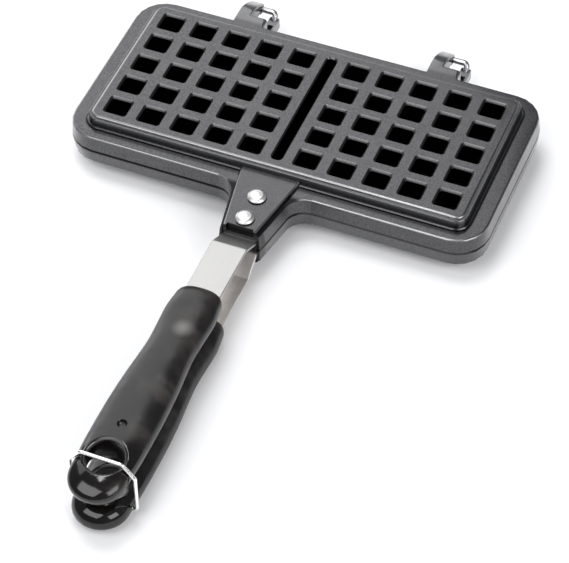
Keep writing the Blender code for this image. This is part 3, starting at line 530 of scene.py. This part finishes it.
def painted_shade_in_seam(tree, place):
    # Painted shade: a dark line where the plates meet, darkest on the left, the right end and the
    # neck
    across, along, height = measured(tree, place)
    darkest = most(tree, fade(tree, across, *SEAM_LEFT), ramp(tree, across, *SEAM_RIGHT_END),
                   fade(tree, along, *SEAM_NECK))
    return times(tree, fade(tree, height, *SEAM_HEIGHTS),
                 ramp(tree, darkest, 0.0, 1.0, SEAM_FAINTEST, 1.0))


def painted_shade_on_neck(tree, place):
    # Painted shade on the flanks of the riveted tab and in the mouth that the strap comes out of
    across, along, height = measured(tree, place)
    narrow = fade(tree, size_of(tree, across), *NECK_WIDTH)
    flank = times(tree, band(tree, height, FLANK_HEIGHTS), fade(tree, along, *FLANK_PLACE),
                  narrow, FLANK_SHADE)
    mouth = times(tree, fade(tree, height, *MOUTH_HEIGHTS), fade(tree, along, *MOUTH_PLACE),
                  narrow, MOUTH_SHADE)
    return most(tree, flank, mouth)


def rim_highlights_and_root_shade(tree, place):
    # Slanted faces; painted highlights on the rims among them and along the panel's top edge; and
    # painted shade at the dark root of the panel
    across, along, height = measured(tree, place)
    off_middle = size_of(tree, across)
    off_centre = size_of(tree, along)
    slanted = band(tree, levelness(tree), SLANTED)
    root = band(tree, height, ROOT_HEIGHTS)
    plain = less(tree, 1.0, most(tree, root, band(tree, height, SHOULDER_HEIGHTS)))
    brink = times(
        tree, ramp(tree, past_outline(tree, off_middle, off_centre, -BRINK_INSET), *BRINK_WIDTH),
        ramp(tree, height, *BRINK_HEIGHTS), fade(tree, across, *BRINK_END), BRINK_SHINE)
    rim_highlights = most(tree, times(tree, slanted, plain), brink)
    past_root = past_outline(tree, off_middle, off_centre, ROOT_OUTSET)
    seam = times(tree, band(tree, past_root, ROOT_SEAM), fade(tree, height, *ROOT_SEAM_HEIGHTS))
    return slanted, rim_highlights, most(tree, times(tree, slanted, root, ROOT_SHADE), seam)


def painted_wall_sheen_and_pale_lugs(tree, place):
    # Painted sheen on upright walls, paler towards their top; and the lugs, paler
    along, height = measured(tree, place)[1:]
    wall = times(tree, fade(tree, levelness(tree), *UPRIGHT), ramp(tree, height, *WALL_SHEEN_HEIGHTS),
                 WALL_SHEEN)
    return most(tree, wall, times(tree, ramp(tree, along, *LUG_FADE), LUG_PALENESS))


def non_stick_coating():
    mat, tree, shader = new_material("dark_non_stick_coating")
    place = object_place(tree)
    grain = use_group(tree, GRAIN, Place=place, Speckle_Scale=1500.0, Mottle_Scale=90.0)
    handled = use_group(tree, HANDLING, Place=place, Cloud_Scale=24.0, Smear_Scale=160.0)
    film = handled.outputs["Film"]
    in_pits, pit_shade = painted_shade_in_pits(tree, place)
    slanted, rim_highlights, root_shade = rim_highlights_and_root_shade(tree, place)
    rim_highlights = times(tree, rim_highlights, less(tree, 1.0, in_pits))
    # Every painted shade on the coating together: pits, seam, pit lips, panel root and neck; the
    # coat is taken away there too
    painted_shade = most(tree, pit_shade, painted_shade_in_seam(tree, place),
                times(tree, in_pits, slanted, PIT_LIP_SHADE), times(tree, root_shade, ROOT_SHADE_DARKNESS),
                painted_shade_on_neck(tree, place))
    tone = blend(tree, grain.outputs["Speckle"], COATING_DARK, COATING_PALE)
    tone = blend(tree, times(tree, film, FILM_ON_COATING), tone, COATING_HANDLED)
    tone = blend(tree, painted_wall_sheen_and_pale_lugs(tree, place), tone, COATING_WALL_SHEEN_AND_LUG)
    tone = blend(tree, rim_highlights, tone, COATING_RIM_HIGHLIGHT)
    tone = blend(tree, painted_shade, tone, PAINTED_SHADE_TONE)
    tree.links.new(tone, shader.inputs["Base Color"])
    rough = calculate(tree, "ADD",
                      ramp(tree, grain.outputs["Mottle"], 0.0, 1.0, *COATING_ROUGHNESS),
                      times(tree, film, COATING_FILM_ROUGHNESS))
    tree.links.new(rough, shader.inputs["Roughness"])
    tree.links.new(ramp(tree, painted_shade, 0.0, 1.0, COAT_WEIGHT, 0.0), shader.inputs["Coat Weight"])
    shader.inputs["Coat Roughness"].default_value = 0.14
    shader.inputs["Coat IOR"].default_value = 1.5
    shader.inputs["Metallic"].default_value = 1.0
    bump(tree, shader, grain.outputs["Height"], strength=0.14, distance=0.00010)
    return mat


def satin_strap_steel(name, low, high, stained):
    mat, tree, shader = new_material(name)
    place = object_place(tree)
    lines = use_group(tree, DRAWN, Place=place, Stretch=(1.0, 0.012, 1.0), Scale=2600.0)
    handled = use_group(tree, HANDLING, Place=place, Cloud_Scale=40.0, Smear_Scale=220.0)
    streak = lines.outputs["Streak"]
    tone = blend(tree, streak, low, high)
    tone = blend(tree, times(tree, handled.outputs["Film"], FILM_ON_STEEL), tone, stained)
    tree.links.new(tone, shader.inputs["Base Color"])
    tree.links.new(ramp(tree, streak, 0.0, 1.0, *STEEL_ROUGHNESS), shader.inputs["Roughness"])
    shader.inputs["Metallic"].default_value = 1.0
    bump(tree, shader, lines.outputs["Height"], strength=0.05, distance=0.00005)
    return mat


def painted_reflection_rings(tree, place):
    # Painted reflections: faint darker rings on the rivets' heads
    across, along = measured(tree, place)[:2]
    rear, front = [size_of(tree, less(tree, along, y)) for y in RIVET_YS.values()]
    distance = far_from(tree, across, calculate(tree, "MINIMUM", rear, front))
    return most(tree, times(tree, band(tree, distance, INNER_RING), INNER_RING_SHARE),
                band(tree, distance, OUTER_RING))


def bright_metal(name, low, high, rough, stretch, reflected_rings=False):
    mat, tree, shader = new_material(name)
    place = object_place(tree)
    lines = use_group(tree, DRAWN, Place=place, Stretch=stretch, Scale=2200.0)
    streak = lines.outputs["Streak"]
    tone = blend(tree, streak, low, high)
    if reflected_rings:
        tone = blend(tree, painted_reflection_rings(tree, place), tone, REFLECTED_RING_TONE)
    tree.links.new(tone, shader.inputs["Base Color"])
    tree.links.new(ramp(tree, streak, 0.0, 1.0, *rough), shader.inputs["Roughness"])
    shader.inputs["Metallic"].default_value = 1.0
    bump(tree, shader, lines.outputs["Height"], strength=0.06, distance=0.00005)
    return mat


def painted_hole_rim_highlight(tree, place):
    # Painted highlight: a thin pale ring where the hanging hole's mouth begins to round over
    across, along = measured(tree, place)[:2]
    distance = far_from(tree, across, less(tree, along, HOLE_Y))
    return times(tree, band(tree, distance, HOLE_HIGHLIGHT_RING), HOLE_RIM_HIGHLIGHT_SHARE)


def painted_highlight_blob(tree, place):
    # Painted highlight: one soft pale blob over the grip's waist
    offset = add_node(tree, "ShaderNodeVectorMath", {"operation": "SUBTRACT"})
    tree.links.new(place, offset.inputs[0])
    offset.inputs[1].default_value = (HIGHLIGHT_BLOB_X, GRID_Y + HIGHLIGHT_BLOB_Y,
                                      PARTING_Z + GRIP_MID + GRIP_HALF_THICK)
    length = add_node(tree, "ShaderNodeVectorMath", {"operation": "LENGTH"})
    tree.links.new(offset.outputs[0], length.inputs[0])
    return fade(tree, length.outputs["Value"], 0.0, HIGHLIGHT_BLOB_RADIUS)


def glossy_phenolic():
    mat, tree, shader = new_material("glossy_black_phenolic")
    place = object_place(tree)
    handled = use_group(tree, HANDLING, Place=place, Cloud_Scale=34.0, Smear_Scale=85.0)
    film = handled.outputs["Film"]
    tone = blend(tree, film, PHENOLIC, PHENOLIC_FILM)
    tone = blend(tree, painted_hole_rim_highlight(tree, place), tone, HOLE_RIM_HIGHLIGHT_TONE)
    tone = blend(tree, painted_highlight_blob(tree, place), tone, HIGHLIGHT_BLOB_TONE)
    tree.links.new(tone, shader.inputs["Base Color"])
    held = ramp(tree, measured(tree, place)[1], *HELD_PLACE, *HELD_ROUGHNESS)
    rough = calculate(tree, "ADD", ramp(tree, film, 0.0, 1.0, *PHENOLIC_ROUGHNESS), held)
    tree.links.new(rough, shader.inputs["Roughness"])
    shader.inputs["Specular IOR Level"].default_value = 0.48
    shader.inputs["Sheen Weight"].default_value = 0.12
    shader.inputs["Sheen Roughness"].default_value = 0.18
    waves = noise(tree, place, scale=75.0, detail=1.5)
    bump(tree, shader, waves, strength=0.60, distance=0.0010)
    return mat


# Mesh helpers

def lay(points, side=UP):
    return [(x, y + GRID_Y, PARTING_Z + z * side) for x, y, z in points]


def mesh_from(bm, name):
    bmesh.ops.recalc_face_normals(bm, faces=bm.faces)
    mesh = bpy.data.meshes.new(name)
    bm.to_mesh(mesh)
    bm.free()
    return mesh


def loft(name, rings):
    bm = bmesh.new()
    loops = [[bm.verts.new(point) for point in ring] for ring in rings]
    count = len(loops[0])
    for lower, upper in zip(loops, loops[1:]):
        for index in range(count):
            after = (index + 1) % count
            bm.faces.new((lower[index], lower[after], upper[after], upper[index]))
    bm.faces.new(loops[0])
    bm.faces.new(loops[-1])
    return mesh_from(bm, name)


def turned(name, profile, centre, side, sides):
    # Lathe a profile of (radius, height) that starts and ends on its axis
    bm = bmesh.new()
    rows = []
    for radius, height in profile:
        spokes = 1 if radius == 0 else sides
        row = []
        for step in range(spokes):
            angle = step / sides * 2 * math.pi
            x = centre[0] + radius * math.cos(angle)
            y = centre[1] + radius * math.sin(angle)
            row.append(bm.verts.new(lay([(x, y, height)], side)[0]))
        rows.append(row)
    for row, following in zip(rows, rows[1:]):
        for step in range(sides):
            after = (step + 1) % sides
            corners = [row[step % len(row)], row[after % len(row)],
                       following[after % len(following)], following[step % len(following)]]
            bm.faces.new(list(dict.fromkeys(corners)))
    return mesh_from(bm, name)


def bent_path(corners, radius):
    # Straight runs joined by arcs of one centre-line radius
    path = [Vector(corners[0])]
    for before, corner, after in zip(corners, corners[1:], corners[2:]):
        corner = Vector(corner)
        back = (Vector(before) - corner).normalized()
        ahead = (Vector(after) - corner).normalized()
        half = back.angle(ahead) / 2
        centre = corner + (back + ahead).normalized() * (radius / math.sin(half))
        start = corner + back * (radius / math.tan(half)) - centre
        end = corner + ahead * (radius / math.tan(half)) - centre
        sweep = start.angle(end)
        for step in range(BEND_STEPS + 1):
            share = step / BEND_STEPS
            path.append(centre + start * (math.sin((1 - share) * sweep) / math.sin(sweep))
                        + end * (math.sin(share * sweep) / math.sin(sweep)))
    path.append(Vector(corners[-1]))
    return path


def round_bar(name, path, radius, flat_normal):
    # A round bar along a flat path, with its two ends softened
    rings = []
    last = len(path) - 1
    stations = []
    for index, point in enumerate(path):
        ahead = (path[min(index + 1, last)] - path[max(index - 1, 0)]).normalized()
        if index in (0, last):
            inward = ahead if index == 0 else -ahead
            ends = [(point + inward * radius * depth, radius * share, ahead)
                    for depth, share in BAR_END_RINGS]
            stations += ends if index == 0 else ends[::-1]
        else:
            stations.append((point, radius, ahead))
    for point, size, ahead in stations:
        side = ahead.cross(flat_normal).normalized()
        ring = []
        for step in range(BAR_SIDES):
            angle = step / BAR_SIDES * 2 * math.pi
            ring.append(tuple(point + side * (size * math.cos(angle))
                              + flat_normal * (size * math.sin(angle))))
        rings.append(ring)
    return loft(name, rings)


def new_object(name, data):
    made = bpy.data.objects.new(name, data)
    bpy.context.scene.collection.objects.link(made)
    return made


def cut_out(piece, cutters):
    for mesh in cutters:
        cutter = new_object(mesh.name, mesh)
        step = piece.modifiers.new(mesh.name, "BOOLEAN")
        step.operation = "DIFFERENCE"
        step.solver = "EXACT"
        step.object = cutter
    graph = bpy.context.evaluated_depsgraph_get()
    result = bpy.data.meshes.new_from_object(piece.evaluated_get(graph))
    for step in list(piece.modifiers):
        bpy.data.objects.remove(step.object, do_unlink=True)
        piece.modifiers.remove(step)
    piece.data = result


def build_crease_tree():
    # Smooth faces that stay creased where they meet at a clear angle
    tree = bpy.data.node_groups.new("crease_by_angle", "GeometryNodeTree")
    tree.interface.new_socket("Geometry", in_out="INPUT", socket_type="NodeSocketGeometry")
    tree.interface.new_socket("Geometry", in_out="OUTPUT", socket_type="NodeSocketGeometry")
    entry = tree.nodes.new("NodeGroupInput")
    leave = tree.nodes.new("NodeGroupOutput")
    faces = tree.nodes.new("GeometryNodeSetShadeSmooth")
    edges = tree.nodes.new("GeometryNodeSetShadeSmooth")
    edges.domain = "EDGE"
    edges.inputs["Shade Smooth"].default_value = False
    angle = tree.nodes.new("GeometryNodeInputMeshEdgeAngle")
    wide = tree.nodes.new("ShaderNodeMath")
    wide.operation = "GREATER_THAN"
    wide.inputs[1].default_value = math.radians(CREASE_DEG)
    tree.links.new(angle.outputs["Unsigned Angle"], wide.inputs[0])
    tree.links.new(entry.outputs[0], faces.inputs["Geometry"])
    tree.links.new(faces.outputs[0], edges.inputs["Geometry"])
    tree.links.new(wide.outputs[0], edges.inputs["Selection"])
    tree.links.new(edges.outputs[0], leave.inputs[0])
    return tree


CREASES = build_crease_tree()


def settle_shading(piece):
    creases = piece.modifiers.new("creases", "NODES")
    creases.node_group = CREASES
    normals = piece.modifiers.new("face_normals", "WEIGHTED_NORMAL")
    normals.keep_sharp = True


def soften_edges(piece, width, segments):
    step = piece.modifiers.new("soft_edges", "BEVEL")
    step.width = width
    step.segments = segments
    step.limit_method = "ANGLE"
    step.angle_limit = math.radians(CREASE_DEG)
    step.use_clamp_overlap = True


# Carried-over nodes

def dress_node(node, mat, edge_width=None):
    body = frame["nodes"][node]
    if not body.material_slots:
        body.data.materials.append(mat)
    for slot in body.material_slots:
        slot.material = mat
    weld = body.modifiers.new("weld_facets", "WELD")
    weld.merge_threshold = WELD_DISTANCE
    if edge_width:
        soften_edges(body, edge_width, segments=2)
    settle_shading(body)


def finish_piece(piece, mat, node, body):
    piece.data.materials.clear()
    piece.data.materials.append(mat)
    settle_shading(piece)
    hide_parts(node)
    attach(piece, body)


# Grips

def smooth_share(table, position):
    # A curve through the table's points, level at its highs and lows
    for index in range(len(table) - 1):
        start, end = table[index], table[index + 1]
        if position <= end[0] or index == len(table) - 2:
            before = table[max(index - 1, 0)]
            after = table[min(index + 2, len(table) - 1)]
            span = end[0] - start[0]
            t = (position - start[0]) / span
            rise_in = (end[1] - before[1]) / (end[0] - before[0]) * span
            rise_out = (after[1] - start[1]) / (after[0] - start[0]) * span
            return (
                (2 * t ** 3 - 3 * t ** 2 + 1) * start[1]
                + (t ** 3 - 2 * t ** 2 + t) * rise_in
                + (3 * t ** 2 - 2 * t ** 3) * end[1]
                + (t ** 3 - t ** 2) * rise_out
            )
    return table[-1][1]


def blunt(distance, length, power):
    # Rises from 0 to 1 over the length, upright at first and then level
    share = max(0.0, min(distance / length, 1))
    return (1 - (1 - share) ** power) ** (1 / power)


def grip_size(y):
    from_front = GRIP_FRONT_Y - y
    from_end = y - GRIP_END_Y
    position = from_front / (GRIP_FRONT_Y - GRIP_END_Y)
    half_x = GRIP_HALF_X * smooth_share(GRIP_WIDTH_SHARES, position)
    half_x *= blunt(from_front, GRIP_NOSE, GRIP_NOSE_POWER)
    half_x *= blunt(from_end, GRIP_TAIL, GRIP_TAIL_POWER)
    rise = GRIP_HALF_THICK * blunt(from_front, GRIP_NOSE_RISE, GRIP_NOSE_RISE_POWER)
    outer = rise * smooth_share(GRIP_OUTER_SHARES, position)
    outer *= blunt(from_end, GRIP_CROWN_FALL, GRIP_TAIL_POWER)
    inner = rise * blunt(from_end, GRIP_TAIL_FALL, GRIP_TAIL_POWER)
    return half_x, outer, inner


def grip_section(y):
    half_x, outer, inner = grip_size(y)
    points = []
    for index in range(GRIP_SIDES):
        angle = index / GRIP_SIDES * 2 * math.pi
        cosine = math.cos(angle)
        sine = math.sin(angle)
        x = half_x * math.copysign(abs(cosine) ** (2 / GRIP_SEAM_POWER), cosine)
        thick = outer if sine > 0 else inner
        z = thick * math.copysign(abs(sine) ** (2 / GRIP_SEAM_POWER), sine)
        points.append((x, y, GRIP_MID + z))
    return points


def grip_stations():
    nose_end = GRIP_FRONT_Y - GRIP_NOSE_RISE
    tail_start = GRIP_END_Y + GRIP_TAIL
    stations = []
    for step in range(NOSE_STATIONS):
        share = (step + NOSE_FIRST_SHARE) / (NOSE_STATIONS + NOSE_FIRST_SHARE)
        stations.append(GRIP_FRONT_Y - GRIP_NOSE_RISE * share ** 2)
    for step in range(BODY_STATIONS):
        stations.append(nose_end + (tail_start - nose_end) * step / BODY_STATIONS)
    for step in range(TAIL_STATIONS):
        share = 1 - math.sin((step + TAIL_FIRST_SHARE) / TAIL_STATIONS * math.pi / 2)
        stations.append(GRIP_END_Y + GRIP_TAIL * share)
    return stations


def grip_surface(x, y):
    # Heights of the outer and inner surface over a place on the grip
    half_x, outer, inner = grip_size(y)
    share = min(abs(x) / half_x, GRIP_WIDEST_SHARE)
    fall = (1 - share ** GRIP_SEAM_POWER) ** (1 / GRIP_SEAM_POWER)
    return GRIP_MID + outer * fall, GRIP_MID - inner * fall


def hanging_hole_cutter(side):
    # The rounded mouths follow the grip's own surface all the way round
    flare = HOLE_RADIUS + HOLE_ROUND
    high = GRIP_MID + GRIP_HALF_THICK + CUT_OVERRUN
    low = GRIP_MID - GRIP_HALF_THICK - CUT_OVERRUN
    columns = []
    for spoke in range(HOLE_SIDES):
        turn = spoke / HOLE_SIDES * 2 * math.pi
        top, bottom = grip_surface(flare * math.cos(turn), HOLE_Y + flare * math.sin(turn))
        profile = [(flare + HOLE_ROUND / 2, high), (flare + HOLE_ROUND / 4, top + HOLE_ROUND / 4)]
        for step in range(ROUND_STEPS + 1):
            angle = step / ROUND_STEPS * math.pi / 2
            profile.append((flare - HOLE_ROUND * math.sin(angle),
                            top - HOLE_ROUND * (1 - math.cos(angle))))
        for step in range(ROUND_STEPS, -1, -1):
            angle = step / ROUND_STEPS * math.pi / 2
            profile.append((flare - HOLE_ROUND * math.sin(angle),
                            bottom + HOLE_ROUND * (1 - math.cos(angle))))
        profile += [(flare + HOLE_ROUND / 4, bottom - HOLE_ROUND / 4),
                    (flare + HOLE_ROUND / 2, low)]
        columns.append([(radius * math.cos(turn), HOLE_Y + radius * math.sin(turn), height)
                        for radius, height in profile])
    rings = [lay([column[row] for column in columns], side) for row in range(len(columns[0]))]
    return loft("hanging_hole_cutter", rings)


def recess_cutter(side):
    # Small round recess with a flared mouth and a softened floor
    top = GRIP_MID + GRIP_HALF_THICK
    floor = top - RECESS_DEPTH
    wide = RECESS_RADIUS + RECESS_FLARE
    profile = [(0, top + CUT_OVERRUN), (wide, top + CUT_OVERRUN), (wide, top + RECESS_LIP_OVER),
               (RECESS_RADIUS + RECESS_DRAFT, top - RECESS_LIP_UNDER),
               (RECESS_RADIUS, floor + RECESS_FLARE),
               (RECESS_RADIUS - RECESS_FLARE, floor), (0, floor)]
    return turned("recess_cutter", profile, (0, RECESS_Y), side, RECESS_SIDES)


def tang_slot_cutter(side):
    front = GRIP_FRONT_Y + CUT_OVERRUN
    rings = []
    for y in (front, TANG_END_Y):
        rings.append(lay([(STRAP_HALF_X, y, TANG_MID - TANG_HALF_THICK),
                          (STRAP_HALF_X, y, TANG_MID + TANG_HALF_THICK),
                          (-STRAP_HALF_X, y, TANG_MID + TANG_HALF_THICK),
                          (-STRAP_HALF_X, y, TANG_MID - TANG_HALF_THICK)], side))
    return loft("tang_slot_cutter", rings)


def bail_socket_cutter(way):
    radius = WIRE_RADIUS + BAIL_CLEARANCE
    rings = []
    for x in (way * (BAIL_PIN_INNER_X - BAIL_CLEARANCE), way * (GRIP_HALF_X + CUT_OVERRUN)):
        ring = []
        for step in range(BAR_SIDES):
            angle = step / BAR_SIDES * 2 * math.pi
            ring.append((x, BAIL_PIVOT.y + radius * math.cos(angle),
                         BAIL_PIVOT.z + radius * math.sin(angle)))
        rings.append(ring)
    return loft("bail_socket_cutter", rings)


def make_grip(half, side, body, mat):
    name = half + "_moulded_grip"
    piece = new_object(name, loft(name, [lay(grip_section(y), side) for y in grip_stations()]))
    cutters = [hanging_hole_cutter(side), recess_cutter(side), tang_slot_cutter(side)]
    if side == DOWN:
        cutters += [bail_socket_cutter(1), bail_socket_cutter(-1)]
    cut_out(piece, cutters)
    soften_edges(piece, RIM_SOFTENING, segments=3)
    finish_piece(piece, mat, half + "_grip", body)


# Rivets, bail and pins

def make_rivet(half, place, side, body, mat):
    head_seat = TAB_TOP + RIVET_GAP
    profile = [(radius, head_seat + height) for radius, height in RIVET_HEAD]
    profile += [(radius, RIVET_TAIL_SEAT - height) for radius, height in RIVET_TAIL]
    name = half + "_domed_rivet_" + place
    piece = new_object(name, turned(name, profile, (0, RIVET_YS[place]), side, RIVET_SIDES))
    finish_piece(piece, mat, half + "_rivet_" + place, body)


def make_bail(mat):
    lean = BAIL_LEAN / BAIL_HEIGHT
    shoulder = BAIL_HEIGHT - BAIL_CHAMFER_DROP
    half_path = [(BAIL_PIN_INNER_X, 0), (BAIL_HALF_X, 0), (BAIL_HALF_X, shoulder),
                 (BAIL_TOP_HALF_X, BAIL_HEIGHT)]
    corners = [(-x, z) for x, z in half_path] + [(x, z) for x, z in reversed(half_path)]
    corners = [Vector((x, BAIL_PIVOT.y + z * lean, BAIL_PIVOT.z + z)) for x, z in corners]
    normal = Vector((0, 1, -lean)).normalized()
    mesh = round_bar("bent_wire_bail", bent_path(corners, BAIL_BEND), WIRE_RADIUS, normal)
    finish_piece(new_object("bent_wire_bail", mesh), mat, "locking_bail", "bail")


def make_pin(which, mat):
    left_x = HINGE_LEFT_XS[which]
    arm_x = left_x + LUG_WIDTH + PIN_ARM_FROM_LUG
    down = math.radians(PIN_ARM_DOWN_DEG)
    way = Vector((0, -math.cos(down), -math.sin(down)))
    hinge = JOINTS["lid_hinge"]
    corner = Vector((arm_x, hinge.y, hinge.z))
    corners = [Vector((left_x + PIN_END_INSET, hinge.y, hinge.z)), corner,
               corner + way * PIN_ARM_LENGTH]
    normal = Vector((1, 0, 0)).cross(way).normalized()
    name = which + "_bent_pin"
    mesh = round_bar(name, bent_path(corners, PIN_BEND), PIN_RADIUS, normal)
    finish_piece(new_object(name, mesh), mat, which + "_hinge_pin", "lower_half")


coating = non_stick_coating()
upper_steel = satin_strap_steel("satin_strap_steel", (0.430, 0.426, 0.420, 1),
                                (0.460, 0.456, 0.450, 1), (0.410, 0.402, 0.390, 1))
# The lower strap: a warm stained tone, made lighter than the upper strap's as painted light
lower_steel_painted_lighter = satin_strap_steel("stained_strap_steel_painted_lighter", (0.680, 0.640, 0.615, 1),
                                (0.780, 0.740, 0.710, 1), (0.600, 0.540, 0.500, 1))
rivet_metal = bright_metal("bright_rivet_aluminium", (0.65, 0.65, 0.65, 1),
                           (0.75, 0.75, 0.75, 1), (0.36, 0.46), (1.0, 1.0, 1.0), reflected_rings=True)
pin_metal = bright_metal("drawn_pin_steel", (0.36, 0.36, 0.37, 1), (0.46, 0.46, 0.47, 1),
                         (0.26, 0.34), (0.02, 1.0, 1.0))
wire_metal = bright_metal("plated_bail_wire", (0.90, 0.90, 0.89, 1), (0.97, 0.97, 0.96, 1),
                          (0.20, 0.28), (1.0, 1.0, 0.05))
phenolic = glossy_phenolic()

dress_node("upper_plate", coating, PLATE_SOFTENING)
dress_node("lower_plate", coating, PLATE_SOFTENING)
dress_node("upper_strap", upper_steel)
dress_node("lower_strap", lower_steel_painted_lighter)
for half, side in (("upper", UP), ("lower", DOWN)):
    make_grip(half, side, half + "_half", phenolic)
    for place in RIVET_YS:
        make_rivet(half, place, side, half + "_half", rivet_metal)
make_bail(wire_metal)
for which in HINGE_LEFT_XS:
    make_pin(which, pin_metal)


# Table, world, lights and camera

def make_table():
    mesh = bpy.data.meshes.new("white_table")
    half = TABLE_HALF
    mesh.from_pydata([(-half, -half, 0), (half, -half, 0), (half, half, 0), (-half, half, 0)],
                     [], [(0, 1, 2, 3)])
    table = new_object("white_table", mesh)
    mat = bpy.data.materials.new("white_table_top")
    mat.use_nodes = True
    tree = mat.node_tree
    tree.nodes.clear()
    out = tree.nodes.new("ShaderNodeOutputMaterial")
    paper = add_node(tree, "ShaderNodeBsdfDiffuse", None, Color=TABLE_PAPER)
    path = add_node(tree, "ShaderNodeLightPath")
    seen = most(tree, path.outputs["Is Camera Ray"], path.outputs["Is Glossy Ray"],
                path.outputs["Is Transmission Ray"])
    glow = add_node(tree, "ShaderNodeEmission", None, Strength=times(tree, seen, TABLE_GLOW))
    both = add_node(tree, "ShaderNodeAddShader")
    tree.links.new(paper.outputs[0], both.inputs[0])
    tree.links.new(glow.outputs[0], both.inputs[1])
    tree.links.new(both.outputs[0], out.inputs["Surface"])
    mesh.materials.append(mat)


def make_world():
    # The camera sees a white backdrop, and everything else the room's plain light
    world = bpy.data.worlds.new("studio")
    bpy.context.scene.world = world
    world.use_nodes = True
    tree = world.node_tree
    tree.nodes.clear()
    out = tree.nodes.new("ShaderNodeOutputWorld")
    room = add_node(tree, "ShaderNodeBackground", None, Color=(0.95, 0.97, 1.0, 1),
                    Strength=ROOM_LIGHT)
    backdrop = add_node(tree, "ShaderNodeBackground", None, Color=(1.0, 1.0, 1.0, 1), Strength=1.0)
    path = add_node(tree, "ShaderNodeLightPath")
    mix = add_node(tree, "ShaderNodeMixShader")
    tree.links.new(path.outputs["Is Camera Ray"], mix.inputs[0])
    tree.links.new(room.outputs[0], mix.inputs[1])
    tree.links.new(backdrop.outputs[0], mix.inputs[2])
    tree.links.new(mix.outputs[0], out.inputs["Surface"])


def make_soft_boxes():
    target = Vector(LIGHT_TARGET)
    for name, (way, distance, width, height, power) in SOFT_BOXES.items():
        lamp = bpy.data.lights.new(name, "AREA")
        lamp.shape = "RECTANGLE"
        lamp.size = width
        lamp.size_y = height
        lamp.energy = power
        box = new_object(name, lamp)
        way = Vector(way).normalized()
        box.location = target + way * distance
        box.rotation_euler = way.to_track_quat("Z", "Y").to_euler()


def make_camera():
    lens = bpy.data.cameras.new("camera")
    lens.lens = CAMERA_LENS
    lens.sensor_width = SENSOR_WIDTH
    lens.clip_start = 0.01
    lens.clip_end = 20.0
    camera = new_object("camera", lens)
    right = Vector(CAMERA_RIGHT)
    up = -Vector(CAMERA_DOWN)
    back = -Vector(CAMERA_AHEAD)
    turn = Matrix((right, up, back)).transposed()
    camera.matrix_world = Matrix.Translation(CAMERA_PLACE) @ turn.to_4x4()
    bpy.context.scene.camera = camera


make_table()
make_world()
make_soft_boxes()
make_camera()
bpy.context.scene.view_settings.view_transform = "Standard"
